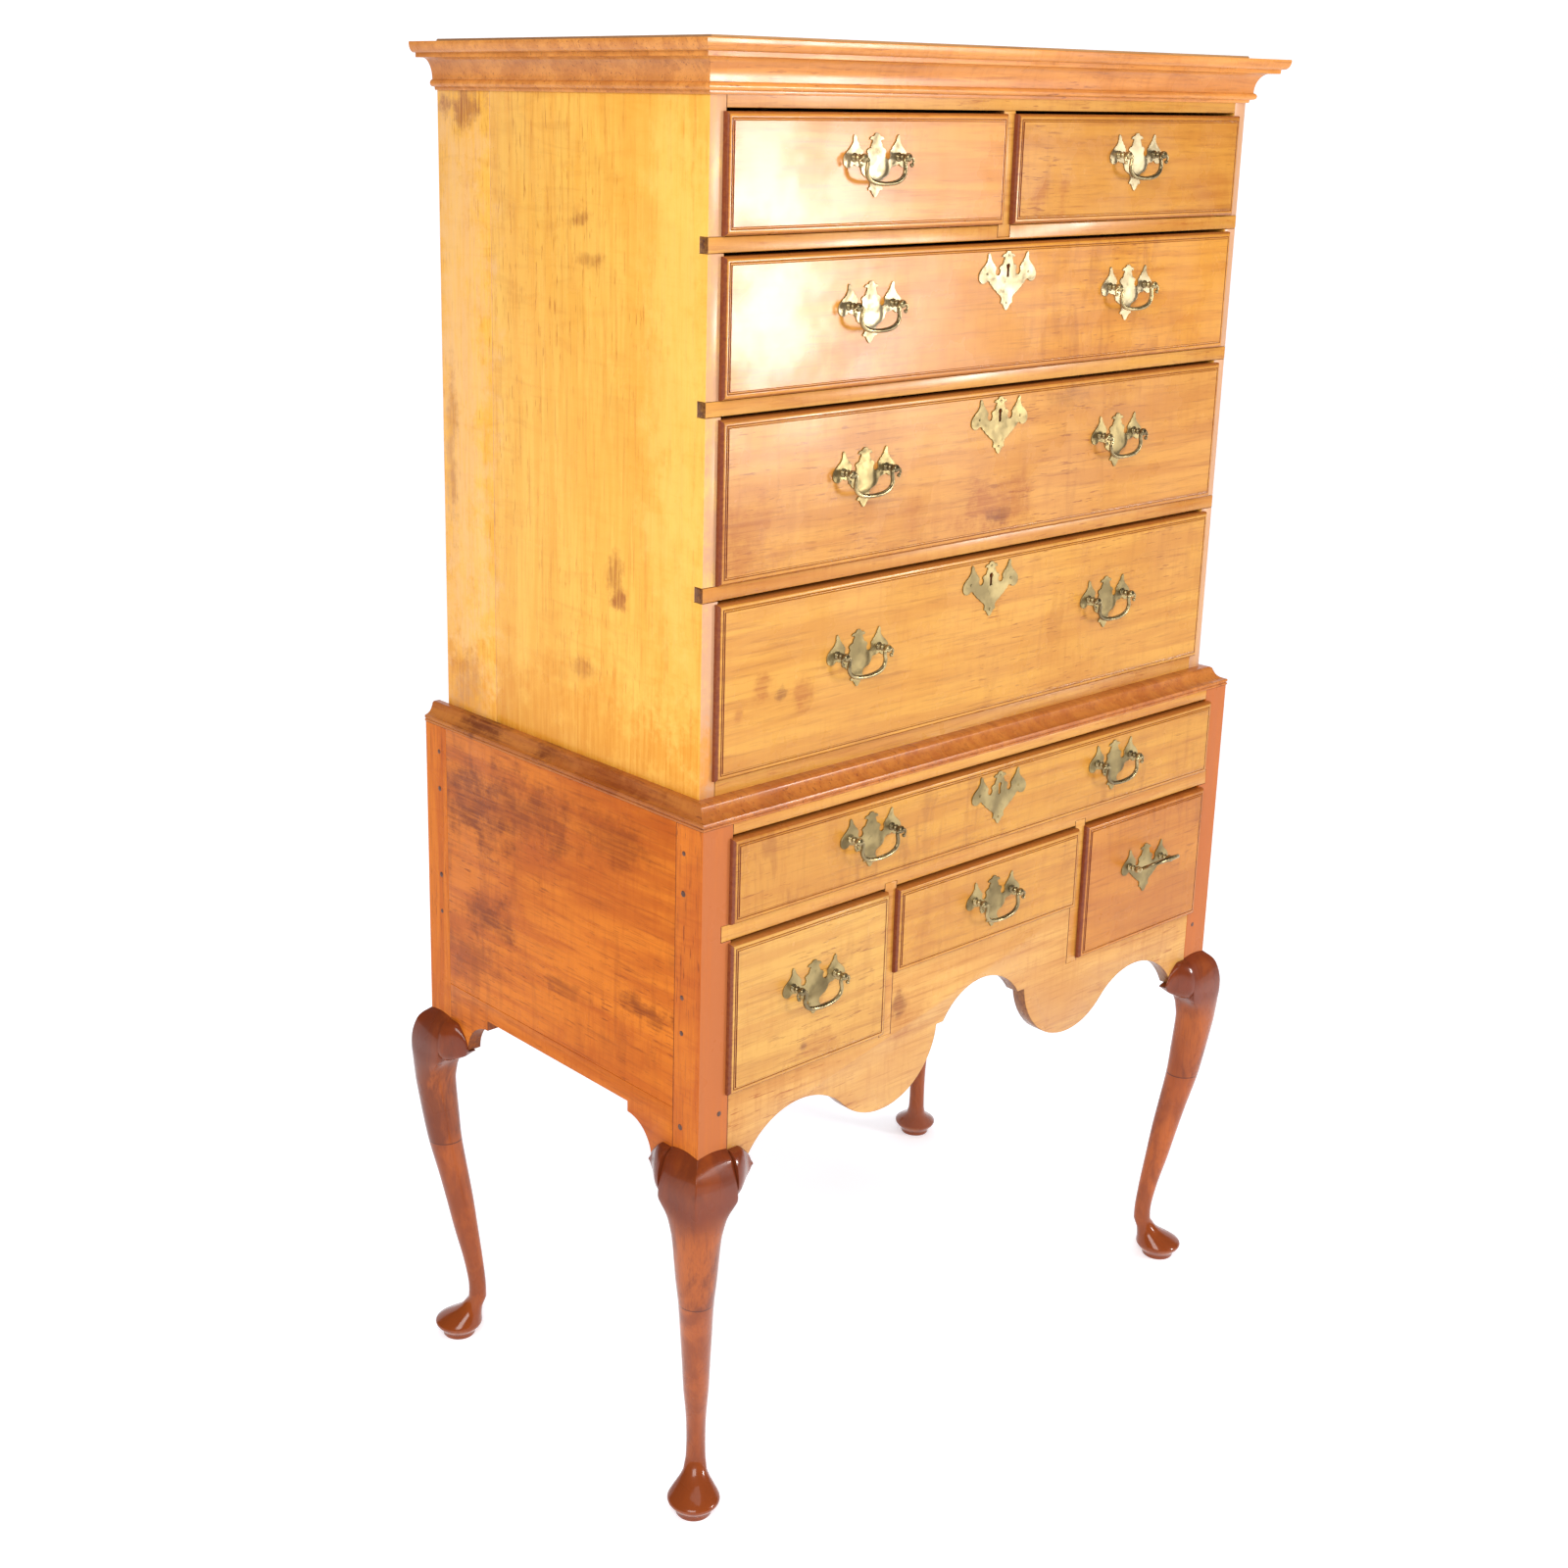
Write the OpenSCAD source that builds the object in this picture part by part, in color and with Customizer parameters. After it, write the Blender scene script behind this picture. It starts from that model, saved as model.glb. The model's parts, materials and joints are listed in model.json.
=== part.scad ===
// Tall chest of drawers on a stand with cabriole legs: an upper case with three long and two short
// drawers stands in the waist moulding of a lower case with one long and three short drawers.
// Millimetres. +Z is up, the front faces -Y, and the origin is on the floor under the middle.

/* [Upper case] */
// Width of the upper case over its side boards
upper_w = 964; // [800:1:1160]
// Depth of the upper case over its side boards
upper_d = 510; // [425:1:615]
// Thickness of the upper side boards
side_t = 24; // [18:1:30]
// Width of the narrow rear board of each upper side
rear_strip_w = 110; // [60:1:160]
// Height of the upper bottom rail
foot_rail_h = 43; // [30:1:60]
// Height of the rail above the top drawers
top_rail_h = 56; // [45:1:90]
// Height of the rails between the upper drawers
rail_h = 17; // [14:1:24]
// Opening height of the lowest upper drawer
open_1 = 216; // [160:1:250]
// Opening height of the second upper drawer
open_2 = 193; // [140:1:230]
// Opening height of the third upper drawer
open_3 = 161; // [125:1:200]
// Opening height of the two top drawers
open_top = 135; // [115:1:170]
// Thickness of the top board
top_t = 18; // [12:1:25]
// Width of the divider between the top drawers
top_divider_w = 22; // [16:1:30]

/* [Lower case] */
// Step from the upper to the lower case at each side
step_side = 23; // [15:1:35]
// Step from the upper to the lower case at the front
step_front = 34; // [20:1:45]
// Step from the upper to the lower case at the back
step_back = 21; // [5:1:35]
// Side of the square leg posts
post = 47; // [39:0.2:57]
// Thickness of the lower side boards, back and apron
board_t = 21; // [16:0.1:28]
// Height of the rail above the long lower drawer
neck_rail_h = 13.5; // [12:0.5:30]
// Height of the rail under the long lower drawer
mid_rail_h = 20; // [16:1:28]
// Opening height of the long lower drawer
open_long = 111; // [100:1:140]
// Opening height of the two deep side drawers
open_deep = 200; // [170:1:240]
// Opening height of the centre drawer
open_centre = 119; // [110:1:140]
// Opening width of the centre drawer
centre_w = 354; // [295:1:426]
// Width of the dividers beside the centre drawer
divider_w = 21; // [16:1:28]

/* [Apron] */
// Height of the sill of the deep drawers above the top of the legs' knees
sill_rise = 72.5; // [68:0.5:82]
// Depth of the front apron under the deep drawers, to the tips of its lobes
apron_drop = 109; // [100:1:125]
// Radius of the two hanging lobes
lobe_r = 100; // [85:1:110]
// Radius of the two side arches
arch_r = 105; // [90:1:115]
// Half span of the centre arch
centre_half = 75; // [55:1:80]
// Rise of the centre arch
centre_rise = 42; // [30:1:55]
// Length of the flat ear of a side board beside its post
side_ear = 40; // [30:1:60]
// Radius of the quarter round at each end of a side board's lower edge
side_arc_r = 47; // [35:1:55]
// Height of the small step beside each quarter round
side_step = 14; // [8:1:20]
// Width of the apron strip along the lower edge of a side
side_strip_h = 87; // [75:1:110]

/* [Legs] */
// Height of the legs, from the floor to the top of the knee
leg_h = 514; // [426:1:618]
// Reach of the knee from the middle of the post along the diagonal
knee_reach = 63; // [55:0.5:76]
// Radius of the pad foot at its rim
foot_r = 34; // [28:1:38]
// Radius of the disc under the foot
pad_r = 23; // [18:1:27]
// Radius of the ankle
ankle_r = 12.4; // [11:0.1:15]
// Reach of the knee blocks along the aprons
block_l = 42; // [36:1:50]

/* [Mouldings] */
// Height of the cornice
cornice_h = 56.5; // [50:0.5:70]
// Projection of the cornice
cornice_out = 40; // [34:1:50]
// Height of the waist moulding
waist_h = 25; // [18:1:35]

/* [Drawers] */
// How far the drawer fronts stand proud of the case
proud = 9; // [7:0.5:12]
// Thickness of the drawer fronts behind the face of the case
front_t = 14; // [11:1:18]
// Thickness of the lip at its edge
lip_t = 3.5; // [2.5:0.5:5]
// Width of the thumbnail moulding round each front
thumb_w = 9.5; // [7:0.5:12]
// Overlap of the lips on the sides of the case
lip_side = 5; // [3:0.5:8]
// Overlap of the lips on a divider
lip_divider = 2.5; // [1.5:0.5:4]
// Clearance of a drawer above
gap_top = 3.5; // [2.5:0.5:5]
// Clearance of a drawer at each side
gap_side = 1.2; // [0.8:0.1:2]
// Thickness of the drawer sides
box_side_t = 11; // [8:1:14]
// Thickness of the drawer backs
box_back_t = 12; // [9:1:15]
// Thickness of the drawer bottoms
box_bottom_t = 8; // [6:1:11]

/* [Brass] */
// Spacing of the two posts of a pull
pull_span = 72; // [60:0.2:87]
// Reach of the bail's pins in front of the plate
pin_out = 16; // [14:1:20]
// Clearance between the bow of a bail and its posts
bail_gap = 1.3; // [0.8:0.1:4]
// Radius of the bail's rod
rod_r = 2.2; // [1.8:0.1:2.4]
// Radius of the bail's pins
pin_r = 1.6; // [1.2:0.1:1.6]
// Thickness of the brass plates
plate_t = 1.6; // [1:0.1:2.5]
// Distance of the outer pulls on the long drawers from the middle
pull_x = 238; // [180:1:280]
// Angle to which the bail of the lower right drawer is lifted
lifted = 122; // [0:1:150]

/* [Hidden] */
$fn = 48;
// Overlap of two solids that make one piece
joint = 0.01;
lower_w = upper_w + 2 * step_side;
inner = upper_w / 2 - side_t;
post_in = lower_w / 2 - post;
rail_d = 60;
back_t = 12;
bottom_board_t = 18;
lap = 14;
pin_gap = 0.08;
seat = 0.3;
// Hairline between two pieces of one group
seam = 0.2;

// The ball heads of the posts of a pull, and the bow that hangs between them
head_r = 4.6;
head_t = 6;
bail_r = pull_span / 2 - head_t / 2 - rod_r - bail_gap;

// Depths, from the farthest reach of the lifted bail to the rear knees
bail_front = step_front + proud + plate_t + pin_out + bail_r * sin(lifted) + rod_r;
rear_reach = upper_d + step_back - post / 2 + knee_reach / sqrt(2);
y_up = -(rear_reach - bail_front) / 2;
y_low = y_up - step_front;
y_back = y_up + upper_d;
y_low_back = y_back + step_back;

// Heights
z_sill = leg_h + sill_rise;
z_waist = z_sill + open_deep + mid_rail_h + open_long + neck_rail_h;
z_mid = z_sill + open_deep;
z_long = z_mid + mid_rail_h;
z_centre = z_mid - open_centre;
z_open_1 = z_waist + foot_rail_h;
z_open_2 = z_open_1 + open_1 + rail_h;
z_open_3 = z_open_2 + open_2 + rail_h;
z_open_top = z_open_3 + open_3 + rail_h;
z_top = z_open_top + open_top + top_rail_h;
z_lobe = z_sill - apron_drop;
post_l = z_waist - leg_h;

// Half width of the bays
x_div = centre_w / 2;
x_bay = x_div + divider_w;
x_div_mid = x_div + divider_w / 2;

// One row for each drawer: opening left, right, bottom and top, face of the case, overlap of the
// lip at the left and right, middles of its pulls, rise of the pulls above the middle, and lock
// (0 none, 1 plate only, 2 plate and lock)
OPEN_L = 0;
OPEN_R = 1;
OPEN_B = 2;
OPEN_T = 3;
FACE = 4;
LIP_L = 5;
LIP_R = 6;
PULLS = 7;
RISE = 8;
LOCK = 9;
top_rise = 15;
long_rise = 16;
low_long_rise = 12;
deep_rise = 16;
middle_rise = 6;
pair = [-pull_x, pull_x];
bay_pull = (x_bay + post_in) / 2;
top_left = [-inner, -top_divider_w / 2, z_open_top, z_open_top + open_top, y_up,
    lip_side, lip_divider, [-pull_x], top_rise, 0];
top_right = [top_divider_w / 2, inner, z_open_top, z_open_top + open_top, y_up,
    lip_divider, lip_side, [pull_x], top_rise, 0];
upper_long_1 = [-inner, inner, z_open_3, z_open_3 + open_3, y_up,
    lip_side, lip_side, pair, top_rise, 2];
upper_long_2 = [-inner, inner, z_open_2, z_open_2 + open_2, y_up,
    lip_side, lip_side, pair, long_rise, 2];
upper_long_3 = [-inner, inner, z_open_1, z_open_1 + open_1, y_up,
    lip_side, lip_side, pair, long_rise, 2];
lower_long = [-post_in, post_in, z_long, z_long + open_long, y_low,
    lip_side, lip_side, pair, low_long_rise, 1];
lower_left = [-post_in, -x_bay, z_sill, z_mid, y_low,
    lip_side, lip_divider, [-bay_pull], deep_rise, 0];
lower_centre = [-x_div, x_div, z_centre, z_mid, y_low,
    lip_divider, lip_divider, [0], middle_rise, 0];
lower_right = [x_bay, post_in, z_sill, z_mid, y_low,
    lip_divider, lip_side, [bay_pull], deep_rise, 0];

lock_drop = 36;
function pull_z(d) = (d[OPEN_B] + d[OPEN_T]) / 2 + d[RISE];
function lock_z(d) = d[OPEN_T] - gap_top - lock_drop;

// ---- Helpers

// A box between two corners
module block(a, b) {
    translate(a) cube(b - a);
}

// The same box on the left and on the right
module block_pair(a, b) {
    block(a, b);
    mirror([1, 0, 0]) block(a, b);
}

// An outline in Y and Z, extruded along X from x by len
module along_x(x, len) {
    translate([x, 0, 0]) rotate([90, 0, 90]) linear_extrude(len) children();
}

// An outline in X and Z, extruded along Y from y by len
module along_y(y, len) {
    translate([0, y + len, 0]) rotate([90, 0, 0]) linear_extrude(len) children();
}

// A round rod along Y from y by len
module rod_y(x, y, z, r, len) {
    translate([x, y, z]) rotate([-90, 0, 0]) cylinder(r = r, h = len);
}

// A round rod along X from x by len
module rod_x(x, y, z, r, len) {
    translate([x, y, z]) rotate([0, 90, 0]) cylinder(r = r, h = len);
}

// Points of a quarter ellipse about [cx, cy], from angle a0 to a1
function arc(cx, cy, rx, ry, a0, a1, n = 6) =
    [for (i = [0:n]) let (a = a0 + (a1 - a0) * i / n) [cx + rx * cos(a), cy + ry * sin(a)]];

// ---- Legs

// Sections of the leg from the knee down: share of the leg height, reach outward, place of the
// greatest width and reach inward along the diagonal, half width, and squareness from 1 to 2
corner = post / sqrt(2);
foot_mid = 3;
foot_z = 20;
// A section of the knee stays a little wider than the inner faces of the post, so that it ends
// flat against the knee blocks
knee_spare = 2;
function knee_section(share, out, square) =
    [leg_h * share, out, (out - corner) / 2, -corner, (out + corner) / 2 + knee_spare, square];
leg_sections = [
    [leg_h, corner, 0, -corner, corner, 1],
    knee_section(0.983, knee_reach * 0.762, 1),
    knee_section(0.963, knee_reach * 0.873, 1),
    knee_section(0.926, knee_reach * 0.976, 1.04),
    [leg_h * 0.885, knee_reach, (knee_reach - corner) / 2, -corner * 0.42,
        (knee_reach + corner) / 2 + knee_spare, 1.1],
    [leg_h * 0.848, knee_reach * 0.976, 26, -4, 38, 1.4],
    [leg_h * 0.813, knee_reach * 0.944, 29, 0, 32.5, 1.6],
    [leg_h * 0.778, knee_reach * 0.905, 29, 1, 29.7, 1.8],
    [leg_h * 0.681, knee_reach * 0.77, 23, -2.5, 26, 2],
    [leg_h * 0.603, knee_reach * 0.65, 17.5, -6, 22.3, 2],
    [leg_h * 0.506, knee_reach * 0.444, 7, -14, 20, 2],
    [leg_h * 0.42, knee_reach * 0.278, -2, -21, 18, 2],
    [leg_h * 0.331, 7, -10, -27, 16.2, 2],
    [leg_h * 0.24, -5, -19, -33, 13, 2],
    [leg_h * 0.163, -12, -24.5, -37, ankle_r, 2],
    [leg_h * 0.117, -12, -24.7, -37.5, ankle_r + 0.6, 2],
    disc_section(45, -17, ankle_r + 2.6),
    disc_section(35, -8, foot_r * 0.65),
    disc_section(27, -2, foot_r * 0.86),
    disc_section(foot_z, foot_mid, foot_r),
    disc_section(12, foot_mid, foot_r * 0.88),
    disc_section(6, foot_mid, pad_r + 1.5),
    disc_section(0, foot_mid, pad_r)
];
function disc_section(z, mid, r) = [z, mid + r, mid, mid - r, r, 2];

// The ring of points of one section, turned so that the outward diagonal runs to -X and -Y. The
// knee ends flat against its knee blocks, in line with the inner faces of the post.
leg_sides = 20;
flat_from = leg_h * 0.86;
function power(v, p) = sign(v) * pow(abs(v), 2 / p);
function inner_limit(s) = s[0] > flat_from ? post / 2 : post;
function leg_ring(s) = [for (i = [0:leg_sides - 1])
    let (a = 360 * i / leg_sides,
        half = cos(a) > 0 ? s[1] - s[2] : s[2] - s[3],
        u = s[2] + half * power(cos(a), s[5]),
        v = s[4] * power(sin(a), s[5]))
    [min((v - u) / sqrt(2), inner_limit(s)), min((-u - v) / sqrt(2), inner_limit(s)), s[0]]];

module leg_shape() {
    n = leg_sides;
    rings = len(leg_sections);
    points = [for (s = leg_sections) each leg_ring(s)];
    top = [for (i = [n - 1:-1:0]) i];
    bottom = [for (i = [0:n - 1]) (rings - 1) * n + i];
    sides = [for (r = [0:rings - 2], i = [0:n - 1])
        [r * n + i, r * n + (i + 1) % n, (r + 1) * n + (i + 1) % n, (r + 1) * n + i]];
    halves = [for (f = sides) each [[f[0], f[1], f[2]], [f[0], f[2], f[3]]]];
    polyhedron(points = points, faces = concat([top], halves, [bottom]), convexity = 6);
}

// Places of the pegs that pin the sides to the posts, as shares of the post's length from its top
front_peg_places = [0.084, 0.204, 0.52, 0.63, 0.926];
rear_peg_places = [0.086, 0.211, 0.506, 0.633];
peg_r = 3.5;
peg_l = 20;
peg_gap = 0.2;
peg_in = 33;
rear_peg_in = 16;
front_peg_z = z_waist - 0.878 * post_l;

// The left pegs, or the holes for them when gap is more than 0
module left_pegs(gap) {
    x = -lower_w / 2;
    deep = peg_l + gap;
    for (p = front_peg_places)
        rod_x(x - gap, y_low + peg_in, z_waist - p * post_l, peg_r + gap, deep + gap);
    for (p = rear_peg_places)
        rod_x(x - gap, y_low_back - post + rear_peg_in, z_waist - p * post_l, peg_r + gap, deep + gap);
    rod_y(x + peg_in, y_low - gap, front_peg_z, peg_r + gap, deep + gap);
}

// A leg with its post, standing at the left; the rear one is mirrored in depth
module left_leg(rear) {
    x = -lower_w / 2 + post / 2;
    y = rear ? y_low_back - post / 2 : y_low + post / 2;
    translate([x, y, 0]) mirror([0, rear ? 1 : 0, 0]) leg_shape();
    difference() {
        block([x - post / 2, y - post / 2, leg_h], [x + post / 2, y + post / 2, z_waist]);
        left_pegs(peg_gap);
        mid_rail_end(seat / 3);
    }
}

module leg_front_left() {
    color("#b5683a") left_leg(false);
}

module leg_front_right() {
    color("#b5683a") mirror([1, 0, 0]) left_leg(false);
}

module leg_rear_left() {
    color("#a75f36") left_leg(true);
}

module leg_rear_right() {
    color("#a75f36") mirror([1, 0, 0]) left_leg(true);
}

module pegs() {
    color("#5b3a24") {
        left_pegs(0);
        mirror([1, 0, 0]) left_pegs(0);
    }
}

// A block beside a knee: it runs along +X from the post, swells towards -Y, and is rebated for
// the board above it. Heights are below the top of the knee.
block_top = 11;
block_foot = 77;
module knee_block() {
    swell = knee_reach / sqrt(2) - post / 2;
    drop = leg_h - z_ear;
    difference() {
        intersection() {
            along_x(0, block_l) polygon([[-swell * 0.5, -block_top], [-swell * 0.75, -19],
                [-swell, -38], [-swell, -59], [-swell * 0.8, -70],
                [-swell * 0.4, 1 - block_foot], [board_t, 5 - block_foot], [board_t, -block_top]]);
            translate([0, 0, -leg_h]) linear_extrude(leg_h) polygon([[0, -swell - 2],
                [block_l * 0.5, -swell * 0.8], [block_l * 0.86, -swell * 0.4], [block_l, 0],
                [block_l, 4], [block_l * 0.86, 14], [block_l * 0.6, board_t], [0, board_t]]);
            along_y(-2 * swell, 4 * board_t) polygon([[0, -block_top], [block_l * 0.14, -13],
                [block_l * 0.42, -23], [block_l * 0.68, -33], [block_l, -52],
                [block_l * 0.7, -64], [block_l * 0.3, -73], [0, -block_foot]]);
        }
        block([-1, 0, -drop], [block_l + 1, board_t + 1, 1]);
    }
}

// The ears of the aprons, on which the knee blocks sit
z_ear = z_lobe + 1;

module knee_blocks() {
    color("#8a4526") for (side = [0, 1]) mirror([side, 0, 0]) {
        translate([-post_in, y_low, leg_h]) knee_block();
        translate([-lower_w / 2, y_low + post, leg_h]) rotate([0, 0, 90]) mirror([0, 1, 0])
            knee_block();
        translate([-lower_w / 2, y_low_back - post, leg_h]) rotate([0, 0, -90])
            knee_block();
    }
}

// ---- Lower case

// The edge of a side board between its posts, in Y and Z
module lower_side_outline() {
    y0 = y_low + post;
    y1 = y_low_back - post;
    a0 = y0 + side_ear + side_arc_r;
    a1 = y1 - side_ear - side_arc_r;
    difference() {
        translate([y0, z_ear]) square([y1 - y0, z_waist - z_ear]);
        translate([a0, z_ear]) circle(r = side_arc_r);
        translate([a1, z_ear]) circle(r = side_arc_r);
        translate([a0, z_ear - 1]) square([a1 - a0, side_arc_r + side_step + 1]);
    }
}

module lower_side_left() {
    z_joint = z_ear + side_strip_h;
    color("#c98a4b") {
        intersection() {
            along_x(-lower_w / 2, board_t) lower_side_outline();
            block([-lower_w, y_low, z_joint + seam], [0, y_low_back, z_waist]);
        }
        intersection() {
            along_x(-lower_w / 2, board_t) lower_side_outline();
            block([-lower_w, y_low, 0], [0, y_low_back, z_joint]);
        }
    }
}

module lower_side_right() {
    mirror([1, 0, 0]) lower_side_left();
}

module lower_back() {
    color("#a97a4e") block([-post_in, y_low_back - board_t, z_ear + side_arc_r + side_step],
        [post_in, y_low_back, z_waist]);
}

// The right half of the apron's outline, in X and Z: a raised tab in the middle under the centre
// drawer, half of the centre arch, a hanging lobe, and a side arch that runs out in the ear
centre_step = 9;
arch_share = 0.545;
module apron_half() {
    lobe_z = z_lobe + lobe_r;
    centre_r = (centre_half * centre_half + centre_rise * centre_rise) / (2 * centre_rise);
    step_z = lobe_z - centre_step;
    arch_x = x_div_mid + arch_share * (post_in - x_div_mid);
    arch_z = lobe_z - sqrt(pow(lobe_r + arch_r, 2) - pow(arch_x - x_div_mid, 2));
    meet_x = x_div_mid + (arch_x - x_div_mid) * lobe_r / (lobe_r + arch_r);
    difference() {
        translate([0, z_lobe]) square([post_in, z_centre - z_lobe]);
        // room for the deep drawer and for the foot of the divider
        translate([x_bay - joint, z_sill]) square([post_in, z_centre]);
        translate([x_div, z_sill - divider_lap]) square([divider_w, z_centre]);
        // side arch, ear and lobe
        intersection() {
            translate([arch_x, arch_z]) circle(r = arch_r, $fn = 96);
            translate([meet_x, 0]) square([post_in, z_sill]);
        }
        translate([arch_x, z_lobe - 1]) square([post_in, z_ear - z_lobe + 1]);
        difference() {
            translate([centre_half - 1, z_lobe - 1])
                square([meet_x - centre_half + 1, step_z - z_lobe + 1]);
            translate([x_div_mid, lobe_z]) circle(r = lobe_r, $fn = 96);
        }
        // centre arch
        translate([-1, z_lobe - 1]) square([centre_half + 1, step_z - z_lobe + 1]);
        translate([0, step_z + centre_rise - centre_r]) circle(r = centre_r, $fn = 96);
    }
}

divider_lap = 4.5;
divider_cap = 6.5;
divider_face = 10;

module front_apron() {
    color("#cf9450") along_y(y_low, board_t) {
        apron_half();
        mirror([1, 0]) apron_half();
    }
}

// The end of the middle rail that laps over the left post, or its housing when gap is more than 0
mid_rail_lap = 16;
module mid_rail_end(gap) {
    block([-post_in - mid_rail_lap - gap, y_low - gap, z_mid - gap],
        [-post_in + joint, y_low + lap + gap, z_long + gap]);
}

module lower_rails() {
    color("#c48848") {
        block([-post_in, y_low, z_waist - neck_rail_h], [post_in, y_low + rail_d, z_waist]);
        difference() {
            union() {
                block([-post_in, y_low, z_mid], [post_in, y_low + rail_d, z_long]);
                mid_rail_end(0);
                mirror([1, 0, 0]) mid_rail_end(0);
            }
            block_pair([x_div - seam, y_low - 1, z_mid - 1],
                [x_bay + seam, y_low + divider_face + seam, z_mid + divider_cap + seam]);
        }
        block_pair([x_div, y_low, z_sill - divider_lap],
            [x_bay, y_low + divider_face, z_mid + divider_cap]);
        block_pair([x_div, y_low, z_sill - divider_lap],
            [x_bay, y_low + rail_d, z_mid - seam]);
    }
}

// ---- Upper case

// The rails between the upper drawers, by the height of their lower faces
upper_rail_places = [z_open_2 - rail_h, z_open_3 - rail_h, z_open_top - rail_h];

module upper_side_left() {
    x = -upper_w / 2;
    color("#d9a24c") {
        difference() {
            block([x, y_up, z_waist], [x + side_t, y_back - rear_strip_w, z_top]);
            for (z = upper_rail_places)
                block([x - 1, y_up - 1, z], [x + side_t + 1, y_up + lap, z + rail_h]);
        }
        block([x, y_back - rear_strip_w + seam, z_waist], [x + side_t, y_back, z_top]);
    }
}

module upper_side_right() {
    mirror([1, 0, 0]) upper_side_left();
}

module upper_top_board() {
    color("#b98043") block([-upper_w / 2, y_up, z_top], [upper_w / 2, y_back, z_top + top_t]);
}

module upper_bottom_board() {
    color("#b98043") block([-inner, y_up + rail_d, z_waist],
        [inner, y_back - back_t, z_waist + bottom_board_t]);
}

module upper_back_boards() {
    boards = 4;
    h = (z_top - z_waist) / boards;
    color("#a97a4e") for (i = [0:boards - 1])
        block([-inner, y_back - back_t, z_waist + i * h],
            [inner, y_back, z_waist + (i + 1) * h - seam]);
}

module upper_rails() {
    d = top_divider_w / 2;
    top_z = z_open_top + open_top;
    color("#c48848") {
        block([-inner, y_up, z_waist], [inner, y_up + rail_d, z_open_1]);
        block([-inner, y_up, top_z], [inner, y_up + rail_d, z_top]);
        for (z = upper_rail_places) difference() {
            union() {
                block([-inner, y_up, z], [inner, y_up + rail_d, z + rail_h]);
                block([-upper_w / 2, y_up, z], [upper_w / 2, y_up + lap, z + rail_h]);
            }
            if (z == upper_rail_places[2])
                block([-d - seam, y_up - 1, z_open_top - lap - seam],
                    [d + seam, y_up + divider_face + seam, z_open_top + 1]);
        }
        block([-d, y_up, z_open_top - lap], [d, y_up + divider_face, top_z - seam]);
        block([-d, y_up, z_open_top + seam], [d, y_up + rail_d, top_z - seam]);
    }
}

// ---- Runners

runner_w = 18;
guide_h = 14;
module drawer_runners() {
    y0 = y_up + rail_d;
    y1 = y_back - back_t;
    y2 = y_low + rail_d;
    y3 = y_low_back - board_t;
    x_side = lower_w / 2 - board_t;
    color("#b08a5c") {
        for (z = [z_open_2, z_open_3, z_open_top])
            block_pair([inner - runner_w, y0, z - rail_h], [inner, y1, z]);
        block_pair([inner - runner_w, y0, z_open_1 - rail_h], [inner, y1, z_open_1]);
        block([-top_divider_w, y0, z_open_top - rail_h], [top_divider_w, y1, z_open_top]);
        block([-top_divider_w / 2, y0, z_open_top + seam],
            [top_divider_w / 2, y1, z_open_top + guide_h]);
        for (z = [z_sill, z_long]) {
            block_pair([post_in - runner_w, y2, z - mid_rail_h],
                [x_side, y_low_back - post, z]);
            block_pair([post_in, y_low + post, z + seam],
                [x_side, y_low_back - post, z + guide_h]);
        }
        block_pair([x_div, y2, z_sill - mid_rail_h], [x_bay + runner_w, y3, z_sill]);
        block_pair([x_div, y2, z_sill + seam], [x_bay, y3, z_sill + guide_h]);
        block_pair([x_div - runner_w, y2, z_centre - rail_h], [x_bay, y3, z_centre]);
        block_pair([x_div, y2, z_centre + seam], [x_bay, y3, z_centre + guide_h]);
    }
}

// ---- Mouldings

// Cornice: bead, cove, fillets and a swelling top member, as distance out and height
function cornice_profile() = concat([[0, 0], [3, 1]],
    arc(6.8, 9, 3.2, 3.2, -70, 80), [[6.5, 12]],
    arc(cornice_out - 19.5, 12, 14, cornice_h - 30.5, 180, 90),
    [[cornice_out - 9.5, cornice_h - 18.5], [cornice_out - 9.5, cornice_h - 13]],
    arc(cornice_out - 7, cornice_h, 7, 13, -90, 0), [[0, cornice_h]]);

// Waist moulding: a fillet, a hollow and a rounded shoulder under a flat top
function waist_profile(out) = concat([[0, 0], [out - 0.5, 0], [out, 0.5]],
    arc(out, waist_h * 0.88, out * 0.5, waist_h * 0.56, 270, 195),
    arc(out * 0.3, waist_h * 0.84, out * 0.18, waist_h * 0.16, 0, 90), [[0, waist_h]]);

// A moulding round the front and sides of the upper case, mitred at the front corners, which
// ends at the depth y_end
module moulding(front_points, side_points, z, front_out, side_out, y_end) {
    w = upper_w / 2;
    intersection() {
        along_x(-w - side_out, upper_w + 2 * side_out)
            polygon([for (p = front_points) [y_up - p[0], z + p[1]]]);
        linear_extrude(z * 2) polygon([[-w, y_up], [w, y_up],
            [w + side_out, y_up - front_out], [-w - side_out, y_up - front_out]]);
    }
    for (side = [0, 1]) mirror([side, 0, 0]) intersection() {
        along_y(y_up - front_out, y_end - y_up + front_out)
            polygon([for (p = side_points) [w + p[0], z + p[1]]]);
        linear_extrude(z * 2) polygon([[w, y_up + seam],
            [w + side_out, y_up - front_out + seam], [w + side_out, y_end], [w, y_end]]);
    }
}

// How far the top board stands above the cornice
top_stand = 4;
module cornice() {
    color("#b9773d") moulding(cornice_profile(), cornice_profile(),
        z_top + top_t - top_stand - cornice_h, cornice_out, cornice_out, y_back);
}

module waist_moulding() {
    side_out = step_side + 1;
    front_out = step_front + 1;
    color("#a9643a") moulding(waist_profile(front_out), waist_profile(side_out),
        z_waist, front_out, side_out, y_low_back);
}

// ---- Drawers

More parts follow.
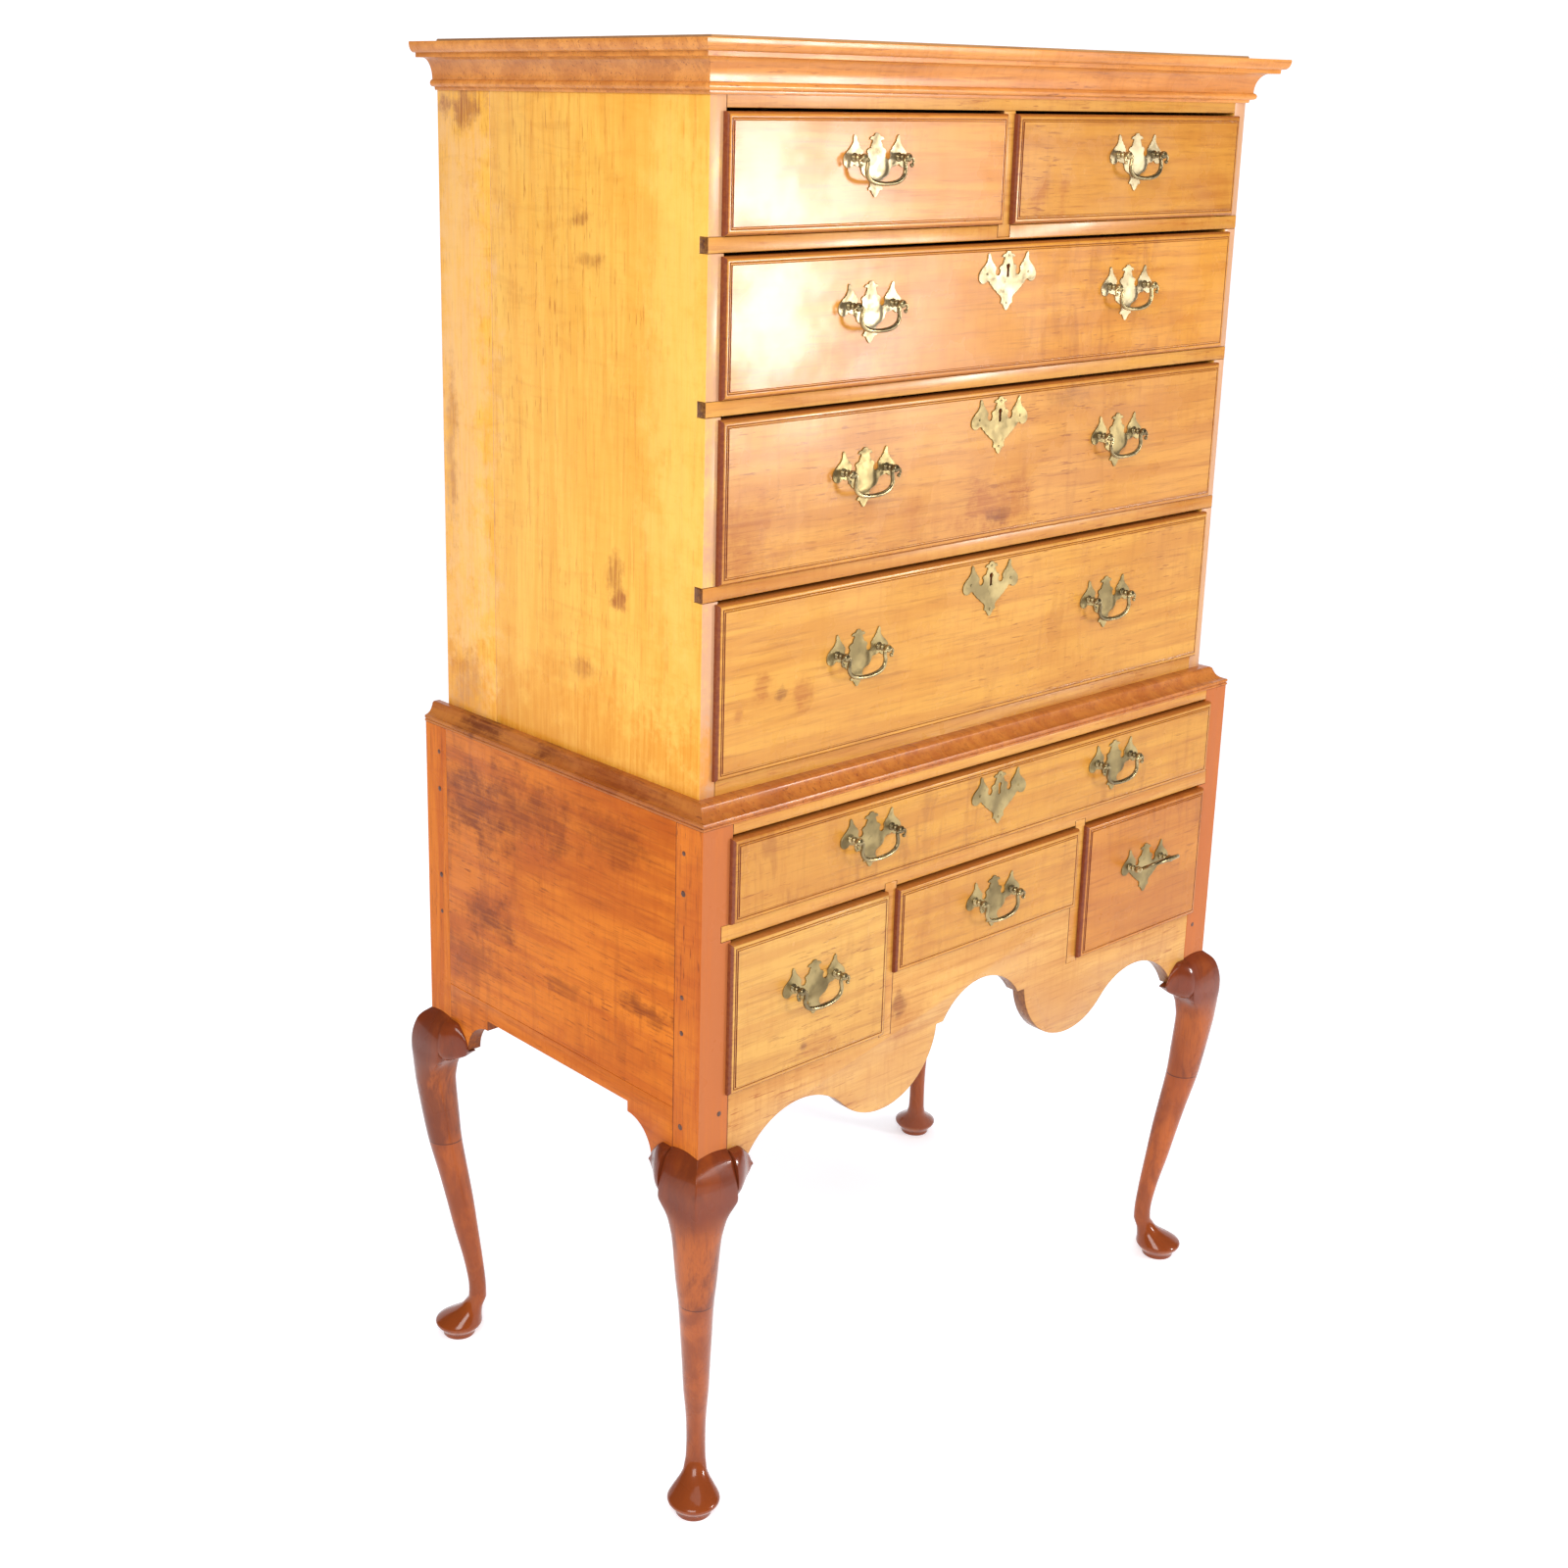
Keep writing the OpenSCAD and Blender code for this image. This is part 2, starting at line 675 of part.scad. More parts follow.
// Half of the thumbnail edge: distance in from the end, and height over the case
lip_gap = 0.3;
function thumb_edge() = concat([[0, lip_gap]],
    [for (a = [0:15:90]) [thumb_w * (1 - cos(a)), lip_t + (proud - 1 - lip_t) * sin(a)]],
    [[thumb_w, proud]]);
function thumb(a, b) = let (edge = thumb_edge(), n = len(edge))
    concat([for (p = edge) [a + p[0], p[1]]], [for (i = [n - 1:-1:0]) [b - edge[i][0], edge[i][1]]]);

function front_x0(d) = d[OPEN_L] - d[LIP_L];
function front_x1(d) = d[OPEN_R] + d[LIP_R];
function front_z0(d) = d[OPEN_B] + 1;
function front_z1(d) = d[OPEN_T] - gap_top;
function y_field(d) = d[FACE] - proud;

post_hole_r = 2.8;
nail_r = 0.9;
nail_places = [[-38, 0], [38, 0], [0, -36], [0, 21]];
key_r = 3.5;
key_top = 8.2;
key_foot = -6;

// The keyhole in X and Z, about the middle of its escutcheon
module keyhole(grow = 0) {
    translate([0, key_top]) circle(r = key_r + grow);
    translate([-2 - grow, key_foot - grow]) square([4 + 2 * grow, key_top - key_foot]);
}

module drawer_front(d) {
    y = d[FACE];
    color("#cd8f49") difference() {
        union() {
            intersection() {
                along_x(front_x0(d), front_x1(d) - front_x0(d))
                    polygon([for (p = thumb(front_z0(d), front_z1(d))) [y - p[1], p[0]]]);
                translate([0, 0, front_z0(d)]) linear_extrude(front_z1(d) - front_z0(d))
                    polygon([for (p = thumb(front_x0(d), front_x1(d))) [p[0], y - p[1]]]);
            }
            block([d[OPEN_L] + gap_side, y - lip_t, front_z0(d)],
                [d[OPEN_R] - gap_side, y + front_t, front_z1(d)]);
        }
        for (x = d[PULLS], s = [-1, 1])
            rod_y(x + s * pull_span / 2, y - 2 * proud, pull_z(d), post_hole_r, 3 * front_t);
        if (d[LOCK] > 0) for (p = nail_places)
            rod_y(p[0], y_field(d) - 1, lock_z(d) + p[1], nail_r + 0.1, 8);
        if (d[LOCK] == 2) translate([0, 0, lock_z(d)]) along_y(y - 2 * proud, 3 * front_t)
            keyhole();
    }
}

// The two sides, back and bottom behind a front
back_gap = 14;
function box_end(d) = (d[FACE] == y_up ? y_back - back_t : y_low_back - board_t) - back_gap;
module drawer_box(d) {
    x0 = d[OPEN_L] + gap_side;
    x1 = d[OPEN_R] - gap_side;
    x2 = x0 + box_side_t + seam;
    x3 = x1 - box_side_t - seam;
    y0 = d[FACE] + front_t;
    y1 = box_end(d);
    z0 = d[OPEN_B] + seat;
    z1 = front_z1(d) - 3;
    floor_z = z0 + 5;
    color("#bf9a68") {
        block([x0, y0, z0], [x0 + box_side_t, y1, z1]);
        block([x1 - box_side_t, y0, z0], [x1, y1, z1]);
        block([x2, y0, floor_z], [x3, y1, floor_z + box_bottom_t]);
        block([x2, y1 - box_back_t, floor_z + box_bottom_t + seam], [x3, y1, z1]);
    }
}

// ---- Brass

// Right half of the pierced bat-wing plates in X and Z, from the crown down to the foot
crown = [[0, 26.7], [5, 23.2], [11.4, 20.2], [7, 19.3], [8.2, 14.8], [15.6, 7]];
wing = [[22.6, 8.3], [32, 19], [36, 24.2], [37.6, 16], [46.9, 7.2], [52.5, -1], [49, -10],
    [41, -10.7]];
belly_round = [[36, -7.4], [25, -10], [22, -17], [12.5, -23], [8.8, -31], [11.5, -35.3],
    [4.5, -39.5], [0, -44.5]];
belly_vee = [[36, -8], [30, -14], [25, -18.5], [17, -24], [9, -30.5], [10, -36], [5.5, -38],
    [0, -45]];

module plate_outline(vee) {
    notch = arc(18.8, 4, 5, 5, 140, 400, 10);
    half = concat(crown, notch, wing, vee ? belly_vee : belly_round);
    n = len(half);
    polygon(concat(half, [for (i = [n - 2:-1:1]) [-half[i][0], half[i][1]]]));
}

nut_r = 7;
nut_t = 4;

// A turned post with a drilled ball head; the nut behind the front holds it
flange_t = 1.2;
ring_place = 7;
module pull_post(x, y, z, back) {
    difference() {
        union() {
            rod_y(x, y - pin_out, z, post_hole_r - 0.3, back - y + pin_out + nut_t + 2);
            rod_y(x, y - flange_t - seam, z, head_r + 1, flange_t);
            rod_y(x, y - ring_place, z, head_r - 0.6, 2);
            intersection() {
                translate([x, y - pin_out, z]) sphere(r = head_r);
                block([x - head_t / 2, y - 2 * pin_out, z - head_r],
                    [x + head_t / 2, y, z + head_r]);
            }
        }
        rod_x(x - head_r, y - pin_out, z, pin_r + pin_gap, 2 * head_r);
    }
    difference() {
        rod_y(x, back, z, nut_r, nut_t);
        rod_y(x, back - 1, z, post_hole_r, nut_t + 2);
    }
}

module brass(d) {
    y = y_field(d);
    z = pull_z(d);
    vee = d == lower_right;
    color("#a99a5a") {
        for (x = d[PULLS]) {
            difference() {
                translate([x, 0, z]) along_y(y - plate_t, plate_t) plate_outline(vee);
                for (s = [-1, 1])
                    rod_y(x + s * pull_span / 2, y - 2 * plate_t, z, post_hole_r, 3 * plate_t);
            }
            for (s = [-1, 1])
                pull_post(x + s * pull_span / 2, y - plate_t, z, d[FACE] + front_t);
        }
        if (d[LOCK] > 0) escutcheon(d);
        if (d[LOCK] == 2) lock(d);
    }
}

// A plate with a keyhole, held by four nails
module escutcheon(d) {
    y = y_field(d);
    translate([0, 0, lock_z(d)]) {
        difference() {
            along_y(y - plate_t, plate_t) plate_outline(true);
            along_y(y - 2 * plate_t, 3 * plate_t) keyhole();
            for (p = nail_places) rod_y(p[0], y - 2 * plate_t, p[1], nail_r + 0.1, 3 * plate_t);
        }
        for (p = nail_places) {
            rod_y(p[0], y - plate_t - seam, p[1], nail_r, plate_t + seam + 6);
            rod_y(p[0], y - plate_t - 0.8 - seam, p[1], 2 * nail_r, 0.8);
        }
    }
}

// A lock with its bolt, on the back of the front
lock_half = 32;
lock_t = 11;
module lock(d) {
    y = d[FACE] + front_t;
    z = lock_z(d);
    difference() {
        block([-lock_half, y, z - 22], [lock_half, y + lock_t, z + 20]);
        translate([0, 0, z]) along_y(y - 1, lock_t / 2) keyhole();
    }
}

// A bail on its two pins, hanging, or lifted by an angle
pin_past = 3;
module bail(d, x, angle = 0) {
    pin_l = pull_span / 2 + head_t / 2 + pin_past - bail_r;
    color("#b0a060") translate([x, y_field(d) - plate_t - pin_out, pull_z(d)])
        rotate([-angle, 0, 0]) {
            rotate([-90, 0, 0]) rotate_extrude(angle = 180) translate([bail_r, 0])
                circle(r = rod_r);
            for (s = [0, 1]) mirror([s, 0, 0]) {
                translate([bail_r, 0, 0]) sphere(r = rod_r);
                rod_x(bail_r, 0, 0, pin_r, pin_l);
                translate([bail_r + pin_l, 0, 0]) sphere(r = rod_r);
            }
        }
}

// ---- Assembly

leg_front_left();
leg_front_right();
leg_rear_left();
leg_rear_right();
knee_blocks();
lower_side_left();
lower_side_right();
lower_back();
front_apron();
lower_rails();
upper_side_left();
upper_side_right();
upper_top_board();
upper_bottom_board();
upper_back_boards();
upper_rails();
drawer_runners();
cornice();
waist_moulding();
pegs();
drawer_front(top_left);  // front_top_left
drawer_front(top_right);  // front_top_right
drawer_front(upper_long_1);  // front_upper_long_1
drawer_front(upper_long_2);  // front_upper_long_2
drawer_front(upper_long_3);  // front_upper_long_3
drawer_front(lower_long);  // front_lower_long
drawer_front(lower_left);  // front_lower_left
drawer_front(lower_centre);  // front_lower_centre
drawer_front(lower_right);  // front_lower_right
drawer_box(top_left);  // box_top_left
drawer_box(top_right);  // box_top_right
drawer_box(upper_long_1);  // box_upper_long_1
drawer_box(upper_long_2);  // box_upper_long_2
drawer_box(upper_long_3);  // box_upper_long_3
drawer_box(lower_long);  // box_lower_long
drawer_box(lower_left);  // box_lower_left
drawer_box(lower_centre);  // box_lower_centre
drawer_box(lower_right);  // box_lower_right
brass(top_left);  // brass_top_left
brass(top_right);  // brass_top_right
brass(upper_long_1);  // brass_upper_long_1
brass(upper_long_2);  // brass_upper_long_2
brass(upper_long_3);  // brass_upper_long_3
brass(lower_long);  // brass_lower_long
brass(lower_left);  // brass_lower_left
brass(lower_centre);  // brass_lower_centre
brass(lower_right);  // brass_lower_right
bail(top_left, -pull_x);  // bail_top_left
bail(top_right, pull_x);  // bail_top_right
bail(upper_long_1, -pull_x);  // bail_upper_long_1_left
bail(upper_long_1, pull_x);  // bail_upper_long_1_right
bail(upper_long_2, -pull_x);  // bail_upper_long_2_left
bail(upper_long_2, pull_x);  // bail_upper_long_2_right
bail(upper_long_3, -pull_x);  // bail_upper_long_3_left
bail(upper_long_3, pull_x);  // bail_upper_long_3_right
bail(lower_long, -pull_x);  // bail_lower_long_left
bail(lower_long, pull_x);  // bail_lower_long_right
bail(lower_left, -bay_pull);  // bail_lower_left
bail(lower_centre, 0);  // bail_lower_centre
bail(lower_right, bay_pull, lifted);  // bail_lower_right
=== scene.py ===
"""A tall maple chest of drawers on cabriole legs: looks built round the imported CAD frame. Metres."""

import json
import math

import bpy
import bmesh
from mathutils import Matrix, Vector

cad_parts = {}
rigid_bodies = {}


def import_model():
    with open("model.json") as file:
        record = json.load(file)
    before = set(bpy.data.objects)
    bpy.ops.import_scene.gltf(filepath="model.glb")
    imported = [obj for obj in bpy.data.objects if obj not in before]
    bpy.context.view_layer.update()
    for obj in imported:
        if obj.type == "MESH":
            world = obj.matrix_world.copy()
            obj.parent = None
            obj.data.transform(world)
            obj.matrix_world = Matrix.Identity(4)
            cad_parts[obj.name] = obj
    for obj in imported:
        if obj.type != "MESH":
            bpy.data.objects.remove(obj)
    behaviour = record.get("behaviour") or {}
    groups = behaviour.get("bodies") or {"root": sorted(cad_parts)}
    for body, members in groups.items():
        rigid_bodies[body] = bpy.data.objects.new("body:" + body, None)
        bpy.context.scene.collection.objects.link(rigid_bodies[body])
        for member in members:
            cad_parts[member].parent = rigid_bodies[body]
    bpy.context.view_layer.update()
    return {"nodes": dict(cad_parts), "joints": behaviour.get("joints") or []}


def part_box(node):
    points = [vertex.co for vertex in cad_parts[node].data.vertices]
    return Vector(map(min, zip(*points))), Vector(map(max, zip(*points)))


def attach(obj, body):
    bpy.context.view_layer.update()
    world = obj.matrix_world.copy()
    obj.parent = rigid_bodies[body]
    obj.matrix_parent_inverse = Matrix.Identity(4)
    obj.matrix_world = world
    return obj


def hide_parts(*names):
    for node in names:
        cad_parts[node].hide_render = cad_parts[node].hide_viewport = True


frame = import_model()

MM = 0.001

# ---- Sizes and places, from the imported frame

SIDE_LO, SIDE_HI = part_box("lower_side_left")
UPPER_LO, UPPER_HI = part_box("upper_side_left")
# Side of a square corner post, height of a leg up to it, and the dark ring round the leg
POST = 0.047
LEG_H = 0.514
LEG_JOINT = 0.314
BOARD_T = SIDE_HI.x - SIDE_LO.x
HALF_LOWER = -SIDE_LO.x
HALF_UPPER = -UPPER_LO.x
Y_UP = UPPER_LO.y
Y_LOW = SIDE_LO.y - POST
Y_LOW_BACK = SIDE_HI.y + POST
Z_EAR = SIDE_LO.z
Z_WAIST = SIDE_HI.z
# Thickness of a plate, how proud a drawer front stands, distance between the posts of a pull,
# and how far an escutcheon lies below the top of its front
PLATE_T = 1.6 * MM
PROUD = 9 * MM
PULL_SPAN = 72 * MM
LOCK_DROP = 36 * MM

DRAWERS = ["top_left", "top_right", "upper_long_1", "upper_long_2", "upper_long_3",
           "lower_long", "lower_left", "lower_centre", "lower_right"]
LOCKED = ["upper_long_1", "upper_long_2", "upper_long_3"]


def hinge_places():
    """Body name to the middle of its pins, from the joints."""
    return {j["child"]: Vector(j["pos_m"]) for j in frame["joints"] if j["type"] == "hinge"}


HINGES = hinge_places()

# ---- Camera, lights and stage


def add_camera():
    yaw, pitch, roll = (math.radians(a) for a in (-41.338, 15.909, 0.901))
    back = Vector((math.sin(yaw) * math.cos(pitch), -math.cos(yaw) * math.cos(pitch),
                   math.sin(pitch)))
    level = Vector((0, 0, 1)).cross(back).normalized()
    raised = back.cross(level)
    right = math.cos(roll) * level + math.sin(roll) * raised
    up = math.cos(roll) * raised - math.sin(roll) * level
    turn = Matrix((right, up, back)).transposed().to_4x4()
    turn.translation = Vector((-1.9896, Y_UP - 1.7112, 1.7411))
    data = bpy.data.cameras.new("camera")
    data.sensor_width = 36
    data.lens = 47.69
    data.shift_x = 0.054
    data.shift_y = -0.061
    data.clip_end = 60
    obj = bpy.data.objects.new("camera", data)
    obj.matrix_world = turn
    bpy.context.scene.collection.objects.link(obj)
    bpy.context.scene.camera = obj


def add_area(name, place, target, size, power, colour=(1, 1, 1), gloss=True, diffuse=True):
    data = bpy.data.lights.new(name, "AREA")
    data.shape = "RECTANGLE"
    data.size, data.size_y = size
    data.energy = power
    data.color = colour
    obj = bpy.data.objects.new(name, data)
    obj.location = place
    obj.rotation_euler = (Vector(target) - Vector(place)).to_track_quat("-Z", "Y").to_euler()
    obj.visible_diffuse = diffuse
    obj.visible_glossy = gloss
    bpy.context.scene.collection.objects.link(obj)


def add_stage():
    """A white floor that curves up into a wall, and the studio lights."""
    radius, reach, height = 2.0, 9.0, 6.0
    profile = [(-9.0, 0.0)]
    profile += [(reach - radius + radius * math.sin(a), radius - radius * math.cos(a))
                for a in (math.radians(d) for d in range(0, 91, 6))]
    profile.append((reach, height))
    away = Vector((math.sin(math.radians(41)), math.cos(math.radians(41)), 0))
    across = Vector((away.y, -away.x, 0))
    mesh = bpy.data.meshes.new("floor")
    verts = []
    for side in (-14, 14):
        verts += [away * d + across * side + Vector((0, 0, z)) for d, z in profile]
    n = len(profile)
    mesh.from_pydata(verts, [], [(i, i + n, i + n + 1, i + 1) for i in range(n - 1)])
    for p in mesh.polygons:
        p.use_smooth = True
    obj = bpy.data.objects.new("floor", mesh)
    bpy.context.scene.collection.objects.link(obj)
    mat = bpy.data.materials.new("floor")
    mat.use_nodes = True
    shader = mat.node_tree.nodes["Principled BSDF"]
    shader.inputs["Base Color"].default_value = (0.84, 0.84, 0.88, 1)
    shader.inputs["Roughness"].default_value = 0.6
    shader.inputs["Specular IOR Level"].default_value = 0.2
    shader.inputs["Emission Color"].default_value = (0.97, 0.975, 1.0, 1)
    shader.inputs["Emission Strength"].default_value = 0.42
    mesh.materials.append(mat)

    bpy.context.scene.view_settings.view_transform = "Standard"
    world = bpy.data.worlds.new("studio")
    bpy.context.scene.world = world
    world.use_nodes = True
    # gloss shows the lamps and the floor only, so the varnish keeps its colour
    world.cycles_visibility.glossy = False
    sky = world.node_tree.nodes["Background"]
    sky.inputs["Color"].default_value = (0.97, 0.98, 1.0, 1)
    sky.inputs["Strength"].default_value = 0.55
    add_area("key", (-3.2, -2.6, 3.0), (0, 0, 1.0), (2.2, 2.2), 150, (1.0, 0.98, 0.95))
    add_area("glare", (2.05, -2.95, 1.3), (-0.42, -0.24, 1.53), (0.5, 0.8), 72, diffuse=False)
    add_area("fill", (1.75, -2.95, 1.75), (-0.2, -0.25, 1.3), (0.8, 1.1), 56, gloss=False)
    add_area("top", (0.2, -0.3, 4.2), (0, 0, 1.0), (2.5, 2.0), 30)


# ---- Mesh helpers


def link(name, mesh, material=None, smooth=True):
    obj = bpy.data.objects.new(name, mesh)
    bpy.context.scene.collection.objects.link(obj)
    if material:
        mesh.materials.append(material)
    for p in mesh.polygons:
        p.use_smooth = smooth
    return obj


def crisp(mesh, angle=33):
    """Smooth shading that breaks at edges sharper than an angle in degrees."""
    for p in mesh.polygons:
        p.use_smooth = True
    mesh.set_sharp_from_angle(angle=math.radians(angle))


def finish_mesh(bm, name):
    bmesh.ops.recalc_face_normals(bm, faces=bm.faces)
    mesh = bpy.data.meshes.new(name)
    bm.to_mesh(mesh)
    bm.free()
    return mesh


def loft(rings, name, closed_ends=True):
    """A closed tube through rings of points with equal counts."""
    bm = bmesh.new()
    rows = [[bm.verts.new(p) for p in ring] for ring in rings]
    n = len(rings[0])
    for a, b in zip(rows, rows[1:]):
        for i in range(n):
            bm.faces.new((a[i], a[(i + 1) % n], b[(i + 1) % n], b[i]))
    if closed_ends:
        bm.faces.new(rows[0])
        bm.faces.new(rows[-1])
    return finish_mesh(bm, name)


def lathe(profile, place, axis, name, sides=28):
    """A turned piece: profile of (distance along axis, radius), from place along axis."""
    axis = Vector(axis).normalized()
    u = axis.orthogonal().normalized()
    v = axis.cross(u)
    rings = []
    for d, r in profile:
        centre = Vector(place) + axis * d
        rings.append([centre + r * (math.cos(t) * u + math.sin(t) * v)
                      for t in (2 * math.pi * i / sides for i in range(sides))])
    return loft(rings, name)


def sweep(path, radii, name, sides=16, flat=None):
    """A rod along points, with a radius at each, its cross-section kept upright to X."""
    rings = []
    for i, p in enumerate(path):
        ahead = path[min(i + 1, len(path) - 1)] - path[max(i - 1, 0)]
        ahead.normalize()
        side = Vector((0, 1, 0))
        up = ahead.cross(side).normalized()
        squash = flat[i] if flat else 1.0
        rings.append([p + radii[i] * (math.cos(t) * side / squash + math.sin(t) * up * squash)
                      for t in (2 * math.pi * k / sides for k in range(sides))])
    return loft(rings, name)


def curve_through(points, steps):
    """Catmull-Rom points through a list of tuples of any length."""
    out = []
    last = len(points) - 1
    for i in range(last):
        p0, p1 = points[max(i - 1, 0)], points[i]
        p2, p3 = points[i + 1], points[min(i + 2, last)]
        for s in range(steps):
            t = s / steps
            out.append(tuple(
                0.5 * (2 * b + (c - a) * t + (2 * a - 5 * b + 4 * c - d) * t * t
                       + (3 * b - a - 3 * c + d) * t ** 3)
                for a, b, c, d in zip(p0, p1, p2, p3)))
    out.append(tuple(points[-1]))
    return out


def join(parts, name):
    """Joins mesh datablocks in one."""
    bm = bmesh.new()
    for part in parts:
        bm.from_mesh(part)
        bpy.data.meshes.remove(part)
    mesh = bpy.data.meshes.new(name)
    bm.to_mesh(mesh)
    bm.free()
    return mesh


def soften(obj, width, segments=2, angle=40, dissolve=True):
    """Rounds the hard edges of a board and shades it smoothly, with modifiers only."""
    weld = obj.modifiers.new("weld", "WELD")
    weld.merge_threshold = 0.00002
    if dissolve:
        flat = obj.modifiers.new("flat", "DECIMATE")
        flat.decimate_type = "DISSOLVE"
        flat.angle_limit = math.radians(0.4)
    bevel = obj.modifiers.new("bevel", "BEVEL")
    bevel.width = width
    bevel.segments = segments
    bevel.limit_method = "ANGLE"
    bevel.angle_limit = math.radians(angle)
    bevel.harden_normals = True
    for p in obj.data.polygons:
        p.use_smooth = True


def box_mesh(lo, hi, name):
    bm = bmesh.new()
    bmesh.ops.create_cube(bm, size=1)
    for v in bm.verts:
        v.co = Vector([lo[k] + (hi[k] - lo[k]) * (v.co[k] + 0.5) for k in range(3)])
    return finish_mesh(bm, name)


# ---- Materials


class Shader:
    """A short way to write node trees. Colours and places are in the piece's own frame."""

    def __init__(self, name):
        self.material = bpy.data.materials.new(name)
        self.material.use_nodes = True
        self.tree = self.material.node_tree
        self.tree.nodes.clear()
        self.output = self.add("ShaderNodeOutputMaterial")
        self.shader = self.add("ShaderNodeBsdfPrincipled")
        self.tree.links.new(self.shader.outputs[0], self.output.inputs["Surface"])
        self.place = self.add("ShaderNodeTexCoord").outputs["Object"]

    def add(self, kind, **settings):
        node = self.tree.nodes.new(kind)
        for key, value in settings.items():
            setattr(node, key, value)
        return node

    def feed(self, socket, value):
        if isinstance(value, bpy.types.NodeSocket):
            self.tree.links.new(value, socket)
        else:
            socket.default_value = value

    def math(self, operation, a, b=0.0, clamp=False):
        node = self.add("ShaderNodeMath", operation=operation, use_clamp=clamp)
        self.feed(node.inputs[0], a)
        self.feed(node.inputs[1], b)
        return node.outputs[0]

    def vector(self, operation, a, b):
        node = self.add("ShaderNodeVectorMath", operation=operation)
        self.feed(node.inputs[0], a)
        self.feed(node.inputs[1], b)
        return node.outputs["Value" if operation == "LENGTH" else "Vector"]

    def noise(self, scale, stretch=(1, 1, 1), offset=(0, 0, 0), detail=4.0, rough=0.55,
              place=None, warp=0.0):
        spot = self.vector("MULTIPLY", place or self.place, stretch)
        spot = self.vector("ADD", spot, offset)
        node = self.add("ShaderNodeTexNoise")
        self.feed(node.inputs["Vector"], spot)
        node.inputs["Scale"].default_value = scale
        node.inputs["Detail"].default_value = detail
        node.inputs["Roughness"].default_value = rough
        node.inputs["Distortion"].default_value = warp
        return node.outputs["Fac"]

    def remap(self, value, lo, hi, to_lo=0.0, to_hi=1.0, smooth=True):
        node = self.add("ShaderNodeMapRange",
                        interpolation_type="SMOOTHSTEP" if smooth else "LINEAR")
        self.feed(node.inputs["Value"], value)
        for key, number in (("From Min", lo), ("From Max", hi), ("To Min", to_lo),
                            ("To Max", to_hi)):
            node.inputs[key].default_value = number
        return node.outputs["Result"]

    def mix(self, factor, a, b, blend="MIX"):
        node = self.add("ShaderNodeMix", data_type="RGBA", blend_type=blend)
        self.feed(node.inputs["Factor"], factor)
        self.feed(node.inputs["A"], (*a, 1) if isinstance(a, tuple) else a)
        self.feed(node.inputs["B"], (*b, 1) if isinstance(b, tuple) else b)
        return node.outputs["Result"]

    def bump(self, height, strength, distance, below=None):
        node = self.add("ShaderNodeBump")
        node.inputs["Strength"].default_value = strength
        node.inputs["Distance"].default_value = distance
        self.feed(node.inputs["Height"], height)
        if below:
            self.feed(node.inputs["Normal"], below)
        return node.outputs["Normal"]

    def split(self, vector):
        node = self.add("ShaderNodeSeparateXYZ")
        self.feed(node.inputs[0], vector)
        return node.outputs

    def normal(self):
        """How far the surface faces along X, Y and Z, in the piece's own frame."""
        node = self.add("ShaderNodeTexCoord")
        return [self.math("ABSOLUTE", s) for s in self.split(node.outputs["Normal"])]

    def spots(self, colour, stains, grain):
        """Lays stains on a colour, broken up by the grain: each is (centre, radii, tint,
        strength)."""
        rough = self.add("ShaderNodeTexNoise")
        rough.inputs["Scale"].default_value = 24
        rough.inputs["Detail"].default_value = 8
        rough.inputs["Roughness"].default_value = 0.7
        self.feed(rough.inputs["Vector"], self.place)
        shift = self.vector("MULTIPLY", self.vector("SUBTRACT", rough.outputs["Color"],
                                                    (0.5, 0.5, 0.5)), (4.5, 4.5, 4.5))
        broken = self.remap(grain, 0.36, 0.58, 0.45, 1.0)
        for centre, radii, tint, strength in stains:
            away = self.vector("SUBTRACT", self.place, centre)
            away = self.vector("DIVIDE", away, radii)
            away = self.vector("ADD", away, shift)
            far = self.vector("LENGTH", away, (0, 0, 0))
            mask = self.math("MULTIPLY", self.remap(far, 0.35, 1.5, strength, 0.0), broken)
            colour = self.mix(mask, colour, tint)
        return colour


GRAIN = {"X": (1, 0, 0), "Y": (0, 1, 0), "Z": (0, 0, 1)}


def stretch(axis, along, across):
    return tuple(along if g else across for g in GRAIN[axis])


